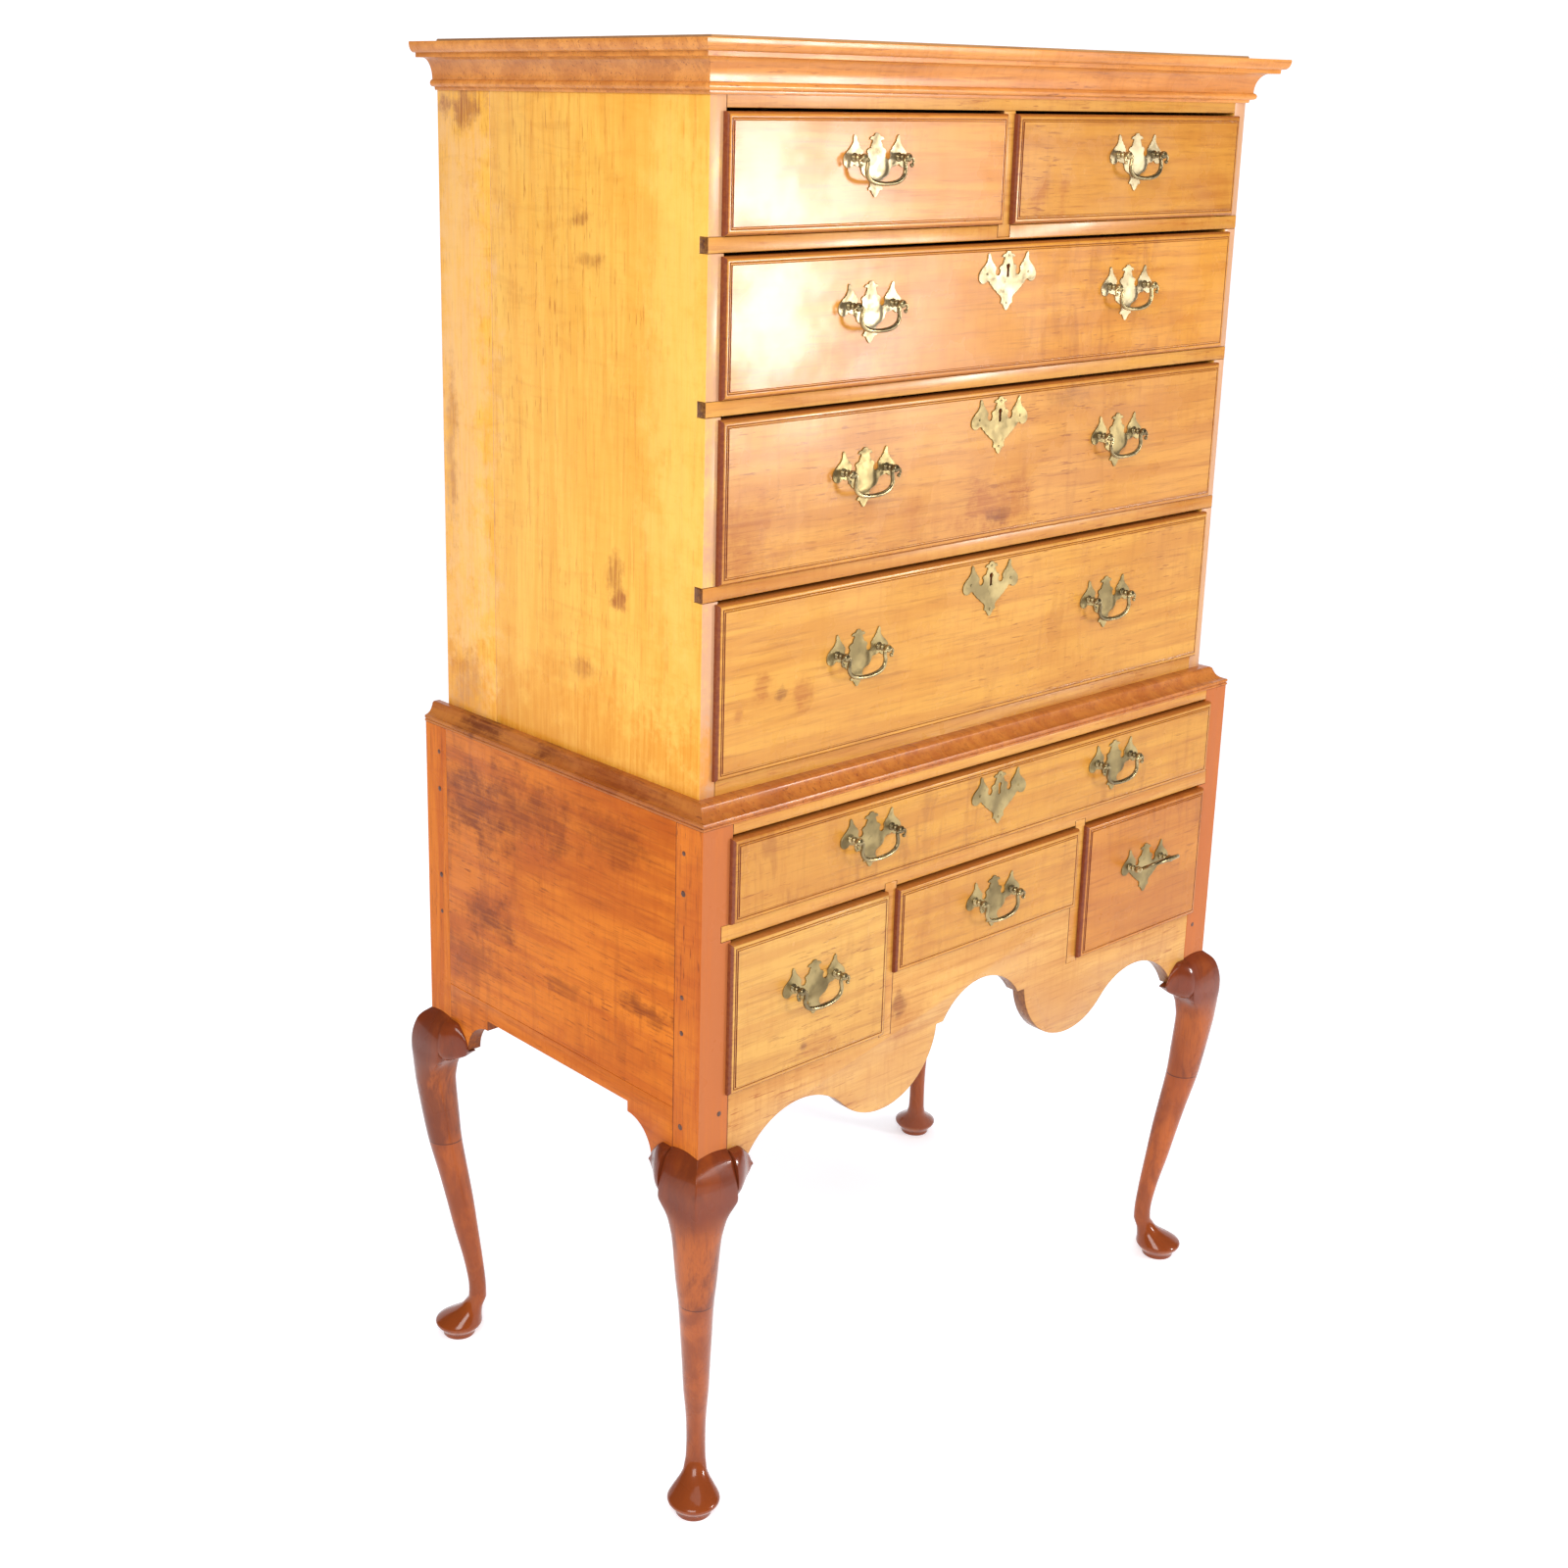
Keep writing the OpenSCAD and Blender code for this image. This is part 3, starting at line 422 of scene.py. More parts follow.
def wood(name, axis, light, mid, dark, seed=0.0, gloss=0.3, figure=0.35, blotch=0.6,
         streak=0.6, end_tint=(0.13, 0.04, 0.02), end_from=0.25, stains=(), coat=0.15,
         front_face_painted_shade=None, painted_edge_shade=None, shine=0.25):
    """Old varnished maple: streaks, lines and short dark dashes along the grain, curl and scraper
    marks across it, blotches, darker end grain, and stains where they are listed. A front-face
    tint darkens what faces the front, painted shade by the way a face turns, and a moulded-edge
    tint darkens the profiled edges and grooves of a board that faces the front, painted shade."""
    s = Shader(name)
    shift = (seed * 3.1, seed * 1.7, seed * 2.3)
    bands = s.noise(7, stretch(axis, 0.4, 7), shift, 6, 0.65, warp=0.4)
    fine = s.noise(30, stretch(axis, 0.35, 8), shift, 5, 0.7, warp=0.3)
    dashes = s.noise(60, stretch(axis, 0.5, 5), shift, 3, 0.6)
    curl = s.noise(20, stretch(axis, 2.4, 0.5), shift, 4, 0.6, warp=0.8)
    scrape = s.noise(40, stretch(axis, 3.6, 0.5), shift, 3, 0.6, warp=0.4)
    cloud = s.noise(3.6, stretch(axis, 0.6, 1.5), shift, 6, 0.62, warp=0.6)
    patch = s.noise(2.2, (1, 1, 1), (seed, -seed, seed * 0.5), 4, 0.6)

    colour = s.mix(s.remap(bands, 0.42, 0.62, 0, streak), light, mid)
    colour = s.mix(s.remap(cloud, 0.46, 0.66, 0, blotch), colour, mid)
    some = s.remap(patch, 0.44, 0.6, 0.2, 1)
    curl_mask = s.math("MULTIPLY", s.remap(curl, 0.47, 0.68), some)
    colour = s.mix(s.math("MULTIPLY", curl_mask, figure), colour, dark)
    scrape_mask = s.math("MULTIPLY", s.remap(scrape, 0.5, 0.66), s.remap(cloud, 0.42, 0.6, 0.1, 0.4))
    colour = s.mix(scrape_mask, colour, mid)
    colour = s.mix(s.remap(fine, 0.50, 0.70, 0, 0.42), colour, dark)
    colour = s.mix(s.math("MULTIPLY", s.remap(dashes, 0.60, 0.68, 0, 0.75), some), colour, dark)
    # painted shade: faces turned to the front take a darker tint
    if front_face_painted_shade:
        shade = s.math("MULTIPLY", s.remap(s.normal()[1], 0.6, 0.8), s.remap(bands, 0.2, 0.6, 0.6, 1))
        colour = s.mix(shade, colour, front_face_painted_shade)
    colour = s.spots(colour, stains, fine)
    # painted shade: the profiled edges and grooves of a front take a dark tint
    if painted_edge_shade:
        edge = s.remap(s.normal()[1], 0.95, 0.75)
        colour = s.mix(s.math("MULTIPLY", edge, 0.75), colour, painted_edge_shade)
    facing = s.normal()["XYZ".index(axis)]
    end = s.remap(facing, end_from, end_from + 0.3)
    end = s.math("MULTIPLY", end, s.remap(fine, 0.3, 0.7, 0.65, 0.97))
    colour = s.mix(end, colour, end_tint)

    s.feed(s.shader.inputs["Base Color"], colour)
    worn = s.noise(9, (1, 1, 1), shift, 4, 0.6)
    s.feed(s.shader.inputs["Roughness"], s.remap(worn, 0.35, 0.7, gloss - 0.05, gloss + 0.12))
    s.shader.inputs["Specular IOR Level"].default_value = shine
    s.shader.inputs["Coat Weight"].default_value = coat
    s.shader.inputs["Coat Roughness"].default_value = 0.22
    wave = s.noise(5.5, stretch(axis, 0.8, 1.6), shift, 2, 0.45)
    relief = s.bump(fine, 0.12, 0.0006)
    relief = s.bump(wave, 0.35, 0.0022, relief)
    s.feed(s.shader.inputs["Normal"], relief)
    return s.material


def brass(name, metal, tarnish, seed=0.0, rough=0.3):
    """Old brass: tarnish in patches over yellow metal, brown dirt, fine scratches."""
    s = Shader(name)
    shift = (seed, seed * 2, -seed)
    patch = s.noise(90, (1, 1, 1), shift, 5, 0.6)
    soft = s.noise(28, (1, 1, 1), shift, 3, 0.5)
    grit = s.noise(420, (1, 1, 1), shift, 3, 0.6)
    colour = s.mix(s.remap(soft, 0.32, 0.66, 0.1, 0.95), metal, tarnish)
    colour = s.mix(s.remap(patch, 0.55, 0.75, 0, 0.6), colour, (0.10, 0.08, 0.035))
    s.feed(s.shader.inputs["Base Color"], colour)
    s.shader.inputs["Metallic"].default_value = 0.85
    s.feed(s.shader.inputs["Roughness"], s.remap(patch, 0.3, 0.7, rough, rough + 0.2))
    s.feed(s.shader.inputs["Normal"], s.bump(grit, 0.12, 0.0003, s.bump(soft, 0.3, 0.0008)))
    return s.material


def plain(name, colour, rough):
    """A dull, slightly mottled finish for small dark things."""
    s = Shader(name)
    patch = s.noise(160, (1, 1, 1), (0, 0, 0), 4, 0.6)
    dark = tuple(c * 0.45 for c in colour)
    s.feed(s.shader.inputs["Base Color"], s.mix(s.remap(patch, 0.35, 0.7), colour, dark))
    s.shader.inputs["Roughness"].default_value = rough
    s.feed(s.shader.inputs["Normal"], s.bump(patch, 0.2, 0.0005))
    return s.material


def at(x, y_from_front, z):
    """A point given by its distance behind the upper case's front."""
    return (x, Y_UP + y_from_front, z)


HONEY = (0.60, 0.29, 0.055)
AMBER = (0.47, 0.17, 0.025)
BROWN = (0.32, 0.085, 0.012)
PLUM = (0.13, 0.028, 0.010)
UMBER = (0.21, 0.042, 0.006)


def make_materials():
    side_x = -HALF_UPPER
    m = {}
    # the tint on the side board's front edge is painted shade
    m["upper_side"] = wood(
        "maple_upper_side", "Z", (0.82, 0.45, 0.08), (0.76, 0.345, 0.045), (0.48, 0.165, 0.02),
        seed=1.3, figure=0.22, blotch=0.5, coat=0.08, shine=0.16, front_face_painted_shade=(0.55, 0.30, 0.17),
        stains=[
            (at(side_x, 0.22, 0.98), (0.05, 0.45, 0.075), (0.66, 0.25, 0.02), 0.8),
            (at(side_x, 0.462, 1.40), (0.03, 0.055, 0.55), (0.80, 0.47, 0.20), 0.7),
            (at(side_x, 0.05, 1.45), (0.03, 0.05, 0.35), (0.84, 0.52, 0.12), 0.6),
            (at(side_x, 0.455, 1.725), (0.03, 0.045, 0.022), (0.30, 0.085, 0.03), 0.85),
            (at(side_x, 0.222, 1.604), (0.02, 0.018, 0.009), BROWN, 0.8),
            (at(side_x, 0.205, 1.560), (0.02, 0.02, 0.008), BROWN, 0.6),
            (at(side_x, 0.149, 1.166), (0.02, 0.016, 0.012), (0.30, 0.075, 0.02), 0.95),
            (at(side_x, 0.157, 1.19), (0.02, 0.012, 0.03), BROWN, 0.7),
            (at(side_x, 0.213, 1.071), (0.02, 0.02, 0.012), BROWN, 0.5),
            (at(side_x, 0.49, 1.3), (0.02, 0.012, 0.09), BROWN, 0.5),
            (at(side_x, 0.46, 1.0), (0.02, 0.03, 0.05), BROWN, 0.45)])
    m["lower_side"] = wood(
        "maple_lower_side", "Y", (0.63, 0.175, 0.016), (0.42, 0.085, 0.009),
        (0.20, 0.038, 0.008), seed=2.1, figure=0.3, blotch=0.8, coat=0.0, shine=0.1, stains=[
            (at(-HALF_LOWER, 0.42, 0.845), (0.03, 0.10, 0.055), UMBER, 0.95),
            (at(-HALF_LOWER, 0.27, 0.865), (0.03, 0.07, 0.04), UMBER, 0.8),
            (at(-HALF_LOWER, 0.12, 0.875), (0.03, 0.06, 0.03), UMBER, 0.6),
            (at(-HALF_LOWER, 0.375, 0.69), (0.03, 0.045, 0.03), UMBER, 0.95),
            (at(-HALF_LOWER, 0.44, 0.62), (0.03, 0.06, 0.03), UMBER, 0.6),
            (at(-HALF_LOWER, 0.22, 0.65), (0.03, 0.05, 0.012), UMBER, 0.6),
            (at(-HALF_LOWER, 0.06, 0.67), (0.03, 0.05, 0.014), UMBER, 0.85)])
    # the tint on each post's front face is painted shade
    m["post_side"] = wood("maple_post", "Z", (0.62, 0.17, 0.016), (0.42, 0.08, 0.010),
                          (0.2, 0.04, 0.010), seed=3.7, figure=0.1, coat=0.0, shine=0.1,
                          front_face_painted_shade=(0.43, 0.13, 0.04))
    m["front"] = wood("maple_rail", "X", HONEY, AMBER, BROWN, seed=4.4, figure=0.12,
                      end_tint=(0.06, 0.015, 0.008))
    m["apron"] = wood("maple_apron", "X", (0.62, 0.33, 0.085), (0.48, 0.205, 0.045), BROWN,
                      seed=5.2, figure=0.25, stains=[
                          ((-0.165, Y_LOW, 0.618), (0.016, 0.03, 0.014), PLUM, 0.8),
                          ((-0.15, Y_LOW, 0.60), (0.04, 0.03, 0.03), BROWN, 0.45)])
    m["moulding"] = wood("maple_moulding", "Y", (0.48, 0.165, 0.032), (0.34, 0.09, 0.02),
                         (0.16, 0.04, 0.016), seed=6.1, figure=0.15, gloss=0.26, shine=0.2,
                         end_from=1.2, stains=[
                             (at(side_x - 0.01, 0.41, 0.95), (0.05, 0.05, 0.014), PLUM, 0.85),
                             (at(side_x - 0.01, 0.27, 0.95), (0.05, 0.03, 0.012), PLUM, 0.8),
                             (at(side_x - 0.01, 0.15, 0.945), (0.05, 0.07, 0.01), UMBER, 0.8)])
    m["cornice"] = wood("maple_cornice", "X", (0.66, 0.27, 0.06), (0.46, 0.155, 0.032),
                        (0.24, 0.065, 0.02), seed=6.9, figure=0.1, gloss=0.26, end_from=1.2)
    m["leg"] = leg_wood()
    m["inside"] = wood("pine_inside", "Y", (0.60, 0.38, 0.19), (0.47, 0.27, 0.12),
                       (0.27, 0.13, 0.05), seed=8.2, figure=0.0, gloss=0.6, coat=0.0,
                       end_tint=(0.35, 0.19, 0.09))
    m["back"] = wood("pine_back", "X", (0.46, 0.27, 0.12), (0.36, 0.19, 0.08),
                     (0.2, 0.09, 0.035), seed=9.4, figure=0.0, gloss=0.65, coat=0.0,
                     end_tint=(0.25, 0.13, 0.06))
    m["peg"] = plain("peg_end_grain", (0.14, 0.05, 0.025), 0.5)
    m["iron"] = plain("lock_iron", (0.09, 0.085, 0.08), 0.45)
    # a paler copy of the plate brass for the top pulls: painted glare
    m["plate_light"] = brass("old_brass_plate_light", (0.60, 0.50, 0.31), (0.30, 0.235, 0.13), 0.3,
                             0.36)
    m["plate"] = brass("old_brass_plate", (0.42, 0.32, 0.14), (0.19, 0.14, 0.06), 2.3, 0.34)
    m["turned"] = brass("old_brass_turned", (0.50, 0.39, 0.19), (0.16, 0.12, 0.06), 4.1, 0.2)
    return m


FRONT_STAINS = {
    "top_left": [((-0.43, 0, 1.66), (0.03, 0.03, 0.05), AMBER, 0.4)],
    "top_right": [((0.055, 0, 1.628), (0.012, 0.03, 0.02), BROWN, 0.7),
                  ((0.10, 0, 1.632), (0.01, 0.03, 0.024), BROWN, 0.55),
                  ((0.40, 0, 1.63), (0.05, 0.03, 0.02), BROWN, 0.3)],
    "upper_long_1": [((-0.27, 0, 1.452), (0.06, 0.03, 0.03), BROWN, 0.5),
                     ((-0.40, 0, 1.44), (0.05, 0.03, 0.02), BROWN, 0.4)],
    "upper_long_2": [((0.0, 0, 1.245), (0.07, 0.03, 0.035), BROWN, 0.75),
                     ((0.01, 0, 1.235), (0.02, 0.03, 0.012), PLUM, 0.6),
                     ((-0.42, 0, 1.27), (0.05, 0.03, 0.04), BROWN, 0.6),
                     ((0.14, 0, 1.375), (0.04, 0.03, 0.012), PLUM, 0.45),
                     ((-0.15, 0, 1.25), (0.02, 0.03, 0.02), BROWN, 0.35)],
    "upper_long_3": [((-0.395, 0, 1.08), (0.012, 0.03, 0.02), BROWN, 0.7),
                     ((-0.365, 0, 1.065), (0.009, 0.03, 0.008), PLUM, 0.6),
                     ((-0.33, 0, 1.06), (0.012, 0.03, 0.018), BROWN, 0.6),
                     ((-0.43, 0, 1.05), (0.008, 0.03, 0.012), BROWN, 0.6)],
    "lower_left": [((-0.31, 0, 0.612), (0.03, 0.03, 0.02), BROWN, 0.45),
                   ((-0.34, 0, 0.618), (0.007, 0.03, 0.006), PLUM, 0.7)],
    "lower_centre": [((-0.13, 0, 0.70), (0.02, 0.03, 0.03), BROWN, 0.3)],
}
TONES = {"top_right": (0.88, 0.92, 0.85), "upper_long_1": (0.97, 1.0, 0.8),
         "upper_long_2": (0.93, 1.0, 1.1), "upper_long_3": (1.0, 1.16, 1.2),
         "lower_long": (0.93, 1.05, 0.95), "lower_left": (1.0, 1.28, 1.7),
         "lower_centre": (0.93, 1.04, 1.0), "lower_right": (0.84, 0.76, 0.55)}
CURLY = {"lower_long": 0.55, "upper_long_1": 0.35, "lower_right": 0.5, "lower_centre": 0.4}


def front_wood(drawer, seed):
    lo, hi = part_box("front_" + drawer)
    stains = [((c[0], lo.y, c[2]), r, t, k) for c, r, t, k in FRONT_STAINS.get(drawer, [])]
    tones = [tuple(a * b for a, b in zip(colour, TONES.get(drawer, (1, 1, 1)))) for colour in
             ((0.59, 0.245, 0.038), (0.46, 0.155, 0.022), (0.27, 0.072, 0.012))]
    return wood("maple_front_" + drawer, "X", *tones, seed=seed, figure=CURLY.get(drawer, 0.2), blotch=0.55,
                # the ends darken from a low tilt on: partly the darker end grain, partly painted shade
                stains=stains, gloss=0.27, end_from=0.1, end_tint=(0.15, 0.03, 0.014),
                # a dark tint on the profiled edges and grooves: painted shade
                painted_edge_shade=(0.27, 0.068, 0.014))


def leg_wood():
    """Redder maple, darkest on the knee and foot, worn pale on the rim of the foot."""
    s = Shader("maple_leg")
    fine = s.noise(30, (20, 20, 1.2), (1, 2, 3), 4, 0.6)
    cloud = s.noise(9, (1, 1, 0.6), (4, 1, 2), 4, 0.55)
    smoke = s.noise(22, (1, 1, 0.45), (7, 3, 5), 6, 0.65, warp=0.5)
    z = s.split(s.place)[2]
    colour = s.mix(s.remap(cloud, 0.35, 0.7), (0.40, 0.095, 0.014), (0.23, 0.045, 0.008))
    high = s.remap(z, 0.41, 0.455)
    colour = s.mix(s.math("MULTIPLY", high, s.remap(cloud, 0.3, 0.6, 0.55, 0.95)), colour,
                   (0.15, 0.026, 0.008))
    low = s.remap(z, 0.10, 0.03)
    colour = s.mix(s.math("MULTIPLY", low, 0.85), colour, (0.13, 0.024, 0.008))
    rim = s.math("MULTIPLY", s.remap(z, 0.022, 0.017), s.remap(z, 0.008, 0.013))
    colour = s.mix(s.math("MULTIPLY", rim, s.remap(smoke, 0.45, 0.55, 0, 0.8)), colour, (0.5, 0.19, 0.08))
    colour = s.mix(s.remap(fine, 0.45, 0.7, 0, 0.45), colour, (0.16, 0.035, 0.012))
    colour = s.mix(s.remap(smoke, 0.42, 0.6, 0, 0.75), colour, (0.13, 0.026, 0.009))
    # the lower part of each leg is spliced on: a dark ring, and redder wood below it
    wavy = s.math("ADD", z, s.math("MULTIPLY", cloud, 0.002))
    below = s.remap(wavy, LEG_JOINT + 0.001, LEG_JOINT)
    colour = s.mix(s.math("MULTIPLY", below, 0.35), colour, (0.36, 0.075, 0.012))
    far = s.math("ABSOLUTE", s.math("SUBTRACT", wavy, LEG_JOINT))
    ring = s.remap(far, 0.0004, 0.0011, 1.0, 0.0)
    colour = s.mix(s.math("MULTIPLY", ring, 0.85), colour, (0.05, 0.012, 0.008))
    s.feed(s.shader.inputs["Base Color"], colour)
    s.feed(s.shader.inputs["Roughness"], s.remap(cloud, 0.3, 0.7, 0.2, 0.34))
    s.shader.inputs["Specular IOR Level"].default_value = 0.12
    s.shader.inputs["Coat Weight"].default_value = 0.45
    s.shader.inputs["Coat Roughness"].default_value = 0.08
    s.feed(s.shader.inputs["Normal"], s.bump(fine, 0.1, 0.0006, s.bump(cloud, 0.3, 0.002)))
    return s.material


# ---- Legs

# The foot and head of the rail between the deep drawers and the long one, and how deep it is
# let into the front posts
MID_RAIL = (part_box("front_lower_left")[1].z + 3.5 * MM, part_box("front_lower_long")[0].z - 1 * MM)
RAIL_SINK = 14.2 * MM
# How far the square post runs down inside the knee
POST_FOOT = 30 * MM
# The leg is flat against the boards above this height (mm)
KNEE_FLAT = 442
# Height, reach outward, place of the greatest width and reach inward along the diagonal, half
# width (mm), and squareness from 1 (square) to 2 (round)
LEG_SECTIONS = [
    (514, 33.2, 0, -33.2, 33.2, 1), (505, 47, 6, -33.2, 42, 1.0), (495, 55, 9, -33.2, 45, 1.02),
    (476, 61.5, 13, -33.2, 49.5, 1.05), (455, 63, 15, -14, 50, 1.12),
    (436, 61.4, 26, -4, 37.8, 1.4), (418, 59.5, 29, 0, 32.5, 1.6), (400, 57, 29, 1, 29.7, 1.8),
    (350, 48.5, 23, -2.5, 26, 2), (310, 41, 17.5, -6, 22.3, 2), (260, 28, 7, -14, 20, 2),
    (216, 17.5, -2, -21, 18, 2), (170, 7, -10, -27, 16.2, 2), (123, -5, -19, -33, 13, 2),
    (84, -12, -24.5, -37, 12.4, 2), (60, -12, -24.7, -37.5, 13, 2)]
FOOT_DISCS = [(46, -17, 15.2), (38, -11, 20), (32, -5, 25.5), (27, -1, 29.6), (23.5, 1.8, 32.4),
              (21.2, 2.8, 33.6), (19.4, 3, 33.75), (17.4, 3, 33.2), (14.5, 3, 31.2), (11, 3, 28),
              (8, 3, 25.6), (6.8, 3, 24.6), (5.8, 3, 23.6), (4.5, 3, 23.4), (0.8, 3, 23.2),
              (0, 3, 22.6)]


def leg_ring(section, sides=56):
    z, out, wide, inward, half, square = section
    ring = []
    # the flat inner sides stand just inside the post's, so the two don't coincide
    limit = POST / 2 - 0.4 * MM if z > KNEE_FLAT else POST
    for i in range(sides):
        a = 2 * math.pi * i / sides
        c, s = math.cos(a), math.sin(a)
        reach = (out - wide) if c > 0 else (wide - inward)
        u = wide + reach * math.copysign(abs(c) ** (2 / square), c)
        v = half * math.copysign(abs(s) ** (2 / square), s)
        x = min((v - u) / math.sqrt(2) * MM, limit)
        y = min((-u - v) / math.sqrt(2) * MM, limit)
        rise = 0.0
        if z > 500 and c > 0:
            rise = 3.0 * MM * math.sin(math.pi * min(abs(s) ** 2, 1)) * (z - 500) / 14
        ring.append(Vector((x, y, z * MM + rise)))
    return ring


def leg_mesh(cx, cy, flip_x, flip_y, name):
    stations = curve_through(LEG_SECTIONS, 5)
    discs = [(z, m + r, m, m - r, r, 2) for z, m, r in FOOT_DISCS]
    rings = [leg_ring(s) for s in stations + discs]
    place = Vector((cx, cy, 0))
    rings = [[place + Vector((p.x * flip_x, p.y * flip_y, p.z)) for p in r] for r in rings]
    return loft(rings, name)


def cut(obj, lo, hi):
    """Cuts a box out of a piece, for good."""
    cutter = bpy.data.objects.new("cutter", box_mesh(lo, hi, "cutter"))
    bpy.context.scene.collection.objects.link(cutter)
    mod = obj.modifiers.new("cut", "BOOLEAN")
    mod.operation = "DIFFERENCE"
    mod.object = cutter
    mod.solver = "EXACT"
    graph = bpy.context.evaluated_depsgraph_get()
    mesh = bpy.data.meshes.new_from_object(obj.evaluated_get(graph))
    obj.modifiers.remove(mod)
    obj.data = mesh
    bpy.data.objects.remove(cutter)


def add_legs(m):
    rail_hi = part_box("lower_rails")[1]
    half_post = POST / 2
    for side, flip_x in (("left", 1), ("right", -1)):
        for end, flip_y in (("front", 1), ("rear", -1)):
            node = "leg_%s_%s" % (end, side)
            cx = -flip_x * (HALF_LOWER - POST / 2)
            cy = Y_LOW + POST / 2 if end == "front" else Y_LOW_BACK - POST / 2
            leg = link(node + "_cabriole", leg_mesh(cx, cy, flip_x, flip_y, node), m["leg"])
            post = link(node + "_post", box_mesh(
                (cx - half_post, cy - half_post, LEG_H - POST_FOOT),
                (cx + half_post, cy + half_post, Z_WAIST),
                node), m["post_side"])
            if end == "front":
                x_end = rail_hi.x * -flip_x
                x_in = x_end + flip_x * 0.02
                cut(post, (min(x_end, x_in), Y_LOW - 0.001, MID_RAIL[0]),
                    (max(x_end, x_in), Y_LOW + RAIL_SINK, MID_RAIL[1]))
            soften(post, 0.0011, 2)
            for piece in (leg, post):
                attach(piece, "case")
                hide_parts(node)


def knee_block_mesh(name):
    """Runs along +X from the post, swells towards -Y, top level with z = 0 at the knee's top."""
    length = 0.042
    ear = Z_EAR - LEG_H
    rings = []
    steps = 16
    for i in range(steps + 1):
        t = i / steps
        x = 0.0003 + (length - 0.0003) * t
        ease = t * t * (3 - 2 * t)
        top = -0.0015 - 0.026 * max(0.0, (t - 0.4) / 0.6) ** 1.25
        bottom = -0.062 + 0.022 * t ** 1.3
        if t > 0.86:
            pinch = (t - 0.86) / 0.14
            mid = (top + bottom) / 2
            top += (mid - top) * pinch * 0.8
            bottom += (mid - bottom) * pinch * 0.8
        swell = 0.0225 * (1 - ease * 0.9)
        mid, half = (top + bottom) / 2, (top - bottom) / 2
        ring = []
        for k in range(15):
            a = math.pi * k / 14
            z = mid + half * math.cos(a)
            bulge = math.sin(a) ** 0.6 * (1.0 - 0.12 * math.cos(a))
            ring.append(Vector((x, -swell * bulge - 0.0002, z)))
        deep = BOARD_T * (1 - 0.5 * t)
        low = min(bottom + 0.003, ear - 0.002)
        edge = min(ear - 0.0003, top)
        ring.append(Vector((x, deep, low)))
        ring.append(Vector((x, deep, max(low + 0.0005, min(edge, -0.036)))))
        ring.append(Vector((x, -0.0002, max(low + 0.0005, min(edge, -0.036)))))
        rings.append(ring)
    return loft(rings, name)


def add_knee_blocks(m):
    inner = HALF_LOWER - POST
    for side in (-1, 1):
        spots = [("front_apron", (side * inner, Y_LOW), 0, -side, 1),
                 ("front_side", (side * HALF_LOWER, Y_LOW + POST), 90, side, 1),
                 ("rear_side", (side * HALF_LOWER, Y_LOW_BACK - POST), 90, side, -1)]
        for label, (x, y), turn, flip_x, flip_y in spots:
            name = "knee_block_%s_%s" % (label, "left" if side < 0 else "right")
            mesh = knee_block_mesh(name)
            if turn:
                # along +X becomes along +Y, and towards -Y becomes outward
                change = Matrix(((0, -flip_x, 0), (flip_y, 0, 0), (0, 0, 1))).to_4x4()
            else:
                change = Matrix.Diagonal((flip_x, 1, 1, 1))
            mesh.transform(Matrix.Translation((x, y, LEG_H)) @ change)
            bm = bmesh.new()
            bm.from_mesh(mesh)
            bmesh.ops.recalc_face_normals(bm, faces=bm.faces)
            bm.to_mesh(mesh)
            bm.free()
            piece = link(name, mesh, m["leg"])
            crisp(mesh, 50)
            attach(piece, "case")
            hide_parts("knee_blocks")


PEG_R = 3.6 * MM
PEG_DEEP = 12 * MM
# Pegs down a front post's side and a rear post's, as shares of the post's height from its top
FRONT_PEGS = (0.084, 0.204, 0.52, 0.63, 0.926)
REAR_PEGS = (0.086, 0.211, 0.506, 0.633)
FACE_PEG = 0.878


def peg_mesh(place, axis, r, rounding):
    """A peg end from inside the post to just proud of it, its rim worn by rounding."""
    rim, tip = rounding
    proud = PEG_DEEP - 0.1 * MM
    return lathe([(0, r), (proud, r), (proud + 0.4 * MM, rim), (proud + 0.6 * MM, tip)],
                 place, axis, "peg", 14)


def add_pegs(m):
    """Slightly proud, uneven peg ends in the sides of the posts and the faces of the front ones."""
    long = Z_WAIST - LEG_H
    places = [(-HALF_LOWER, Y_LOW + 0.033, Z_WAIST - p * long) for p in FRONT_PEGS]
    places += [(-HALF_LOWER, Y_LOW_BACK - POST + 0.016, Z_WAIST - p * long) for p in REAR_PEGS]
    parts = []
    for k, (x, y, z) in enumerate(places):
        for side in (-1, 1):
            r = PEG_R + 0.5 * MM * math.sin(k * 2.3 + side)
            parts.append(peg_mesh((side * (HALF_LOWER - PEG_DEEP), y, z), (side, 0, 0), r,
                                  (r * 0.9, r * 0.5)))
    for side in (-1, 1):
        parts.append(peg_mesh((side * (HALF_LOWER - 0.033), Y_LOW + PEG_DEEP,
                               Z_WAIST - FACE_PEG * long), (0, -1, 0), PEG_R, (3 * MM, 2 * MM)))
    piece = link("pegs_proud", join(parts, "pegs"), m["peg"])
    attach(piece, "case")
    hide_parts("pegs")


# ---- Brass


def bend(cx, cy, rx, ry, a0, a1, n):
    """Points along an elliptical arc, from angle a0 to a1 in degrees."""
    return [(cx + rx * math.cos(math.radians(a0 + (a1 - a0) * i / n)),
             cy + ry * math.sin(math.radians(a0 + (a1 - a0) * i / n))) for i in range(n + 1)]


def chaikin(points, rounds=2, share=0.22):
    """Rounds the corners of a closed outline."""
    for _ in range(rounds):
        out = []
        for a, b in zip(points, points[1:] + points[:1]):
            for t in (share, 1 - share):
                out.append((a[0] + (b[0] - a[0]) * t, a[1] + (b[1] - a[1]) * t))
        points = out
    return points


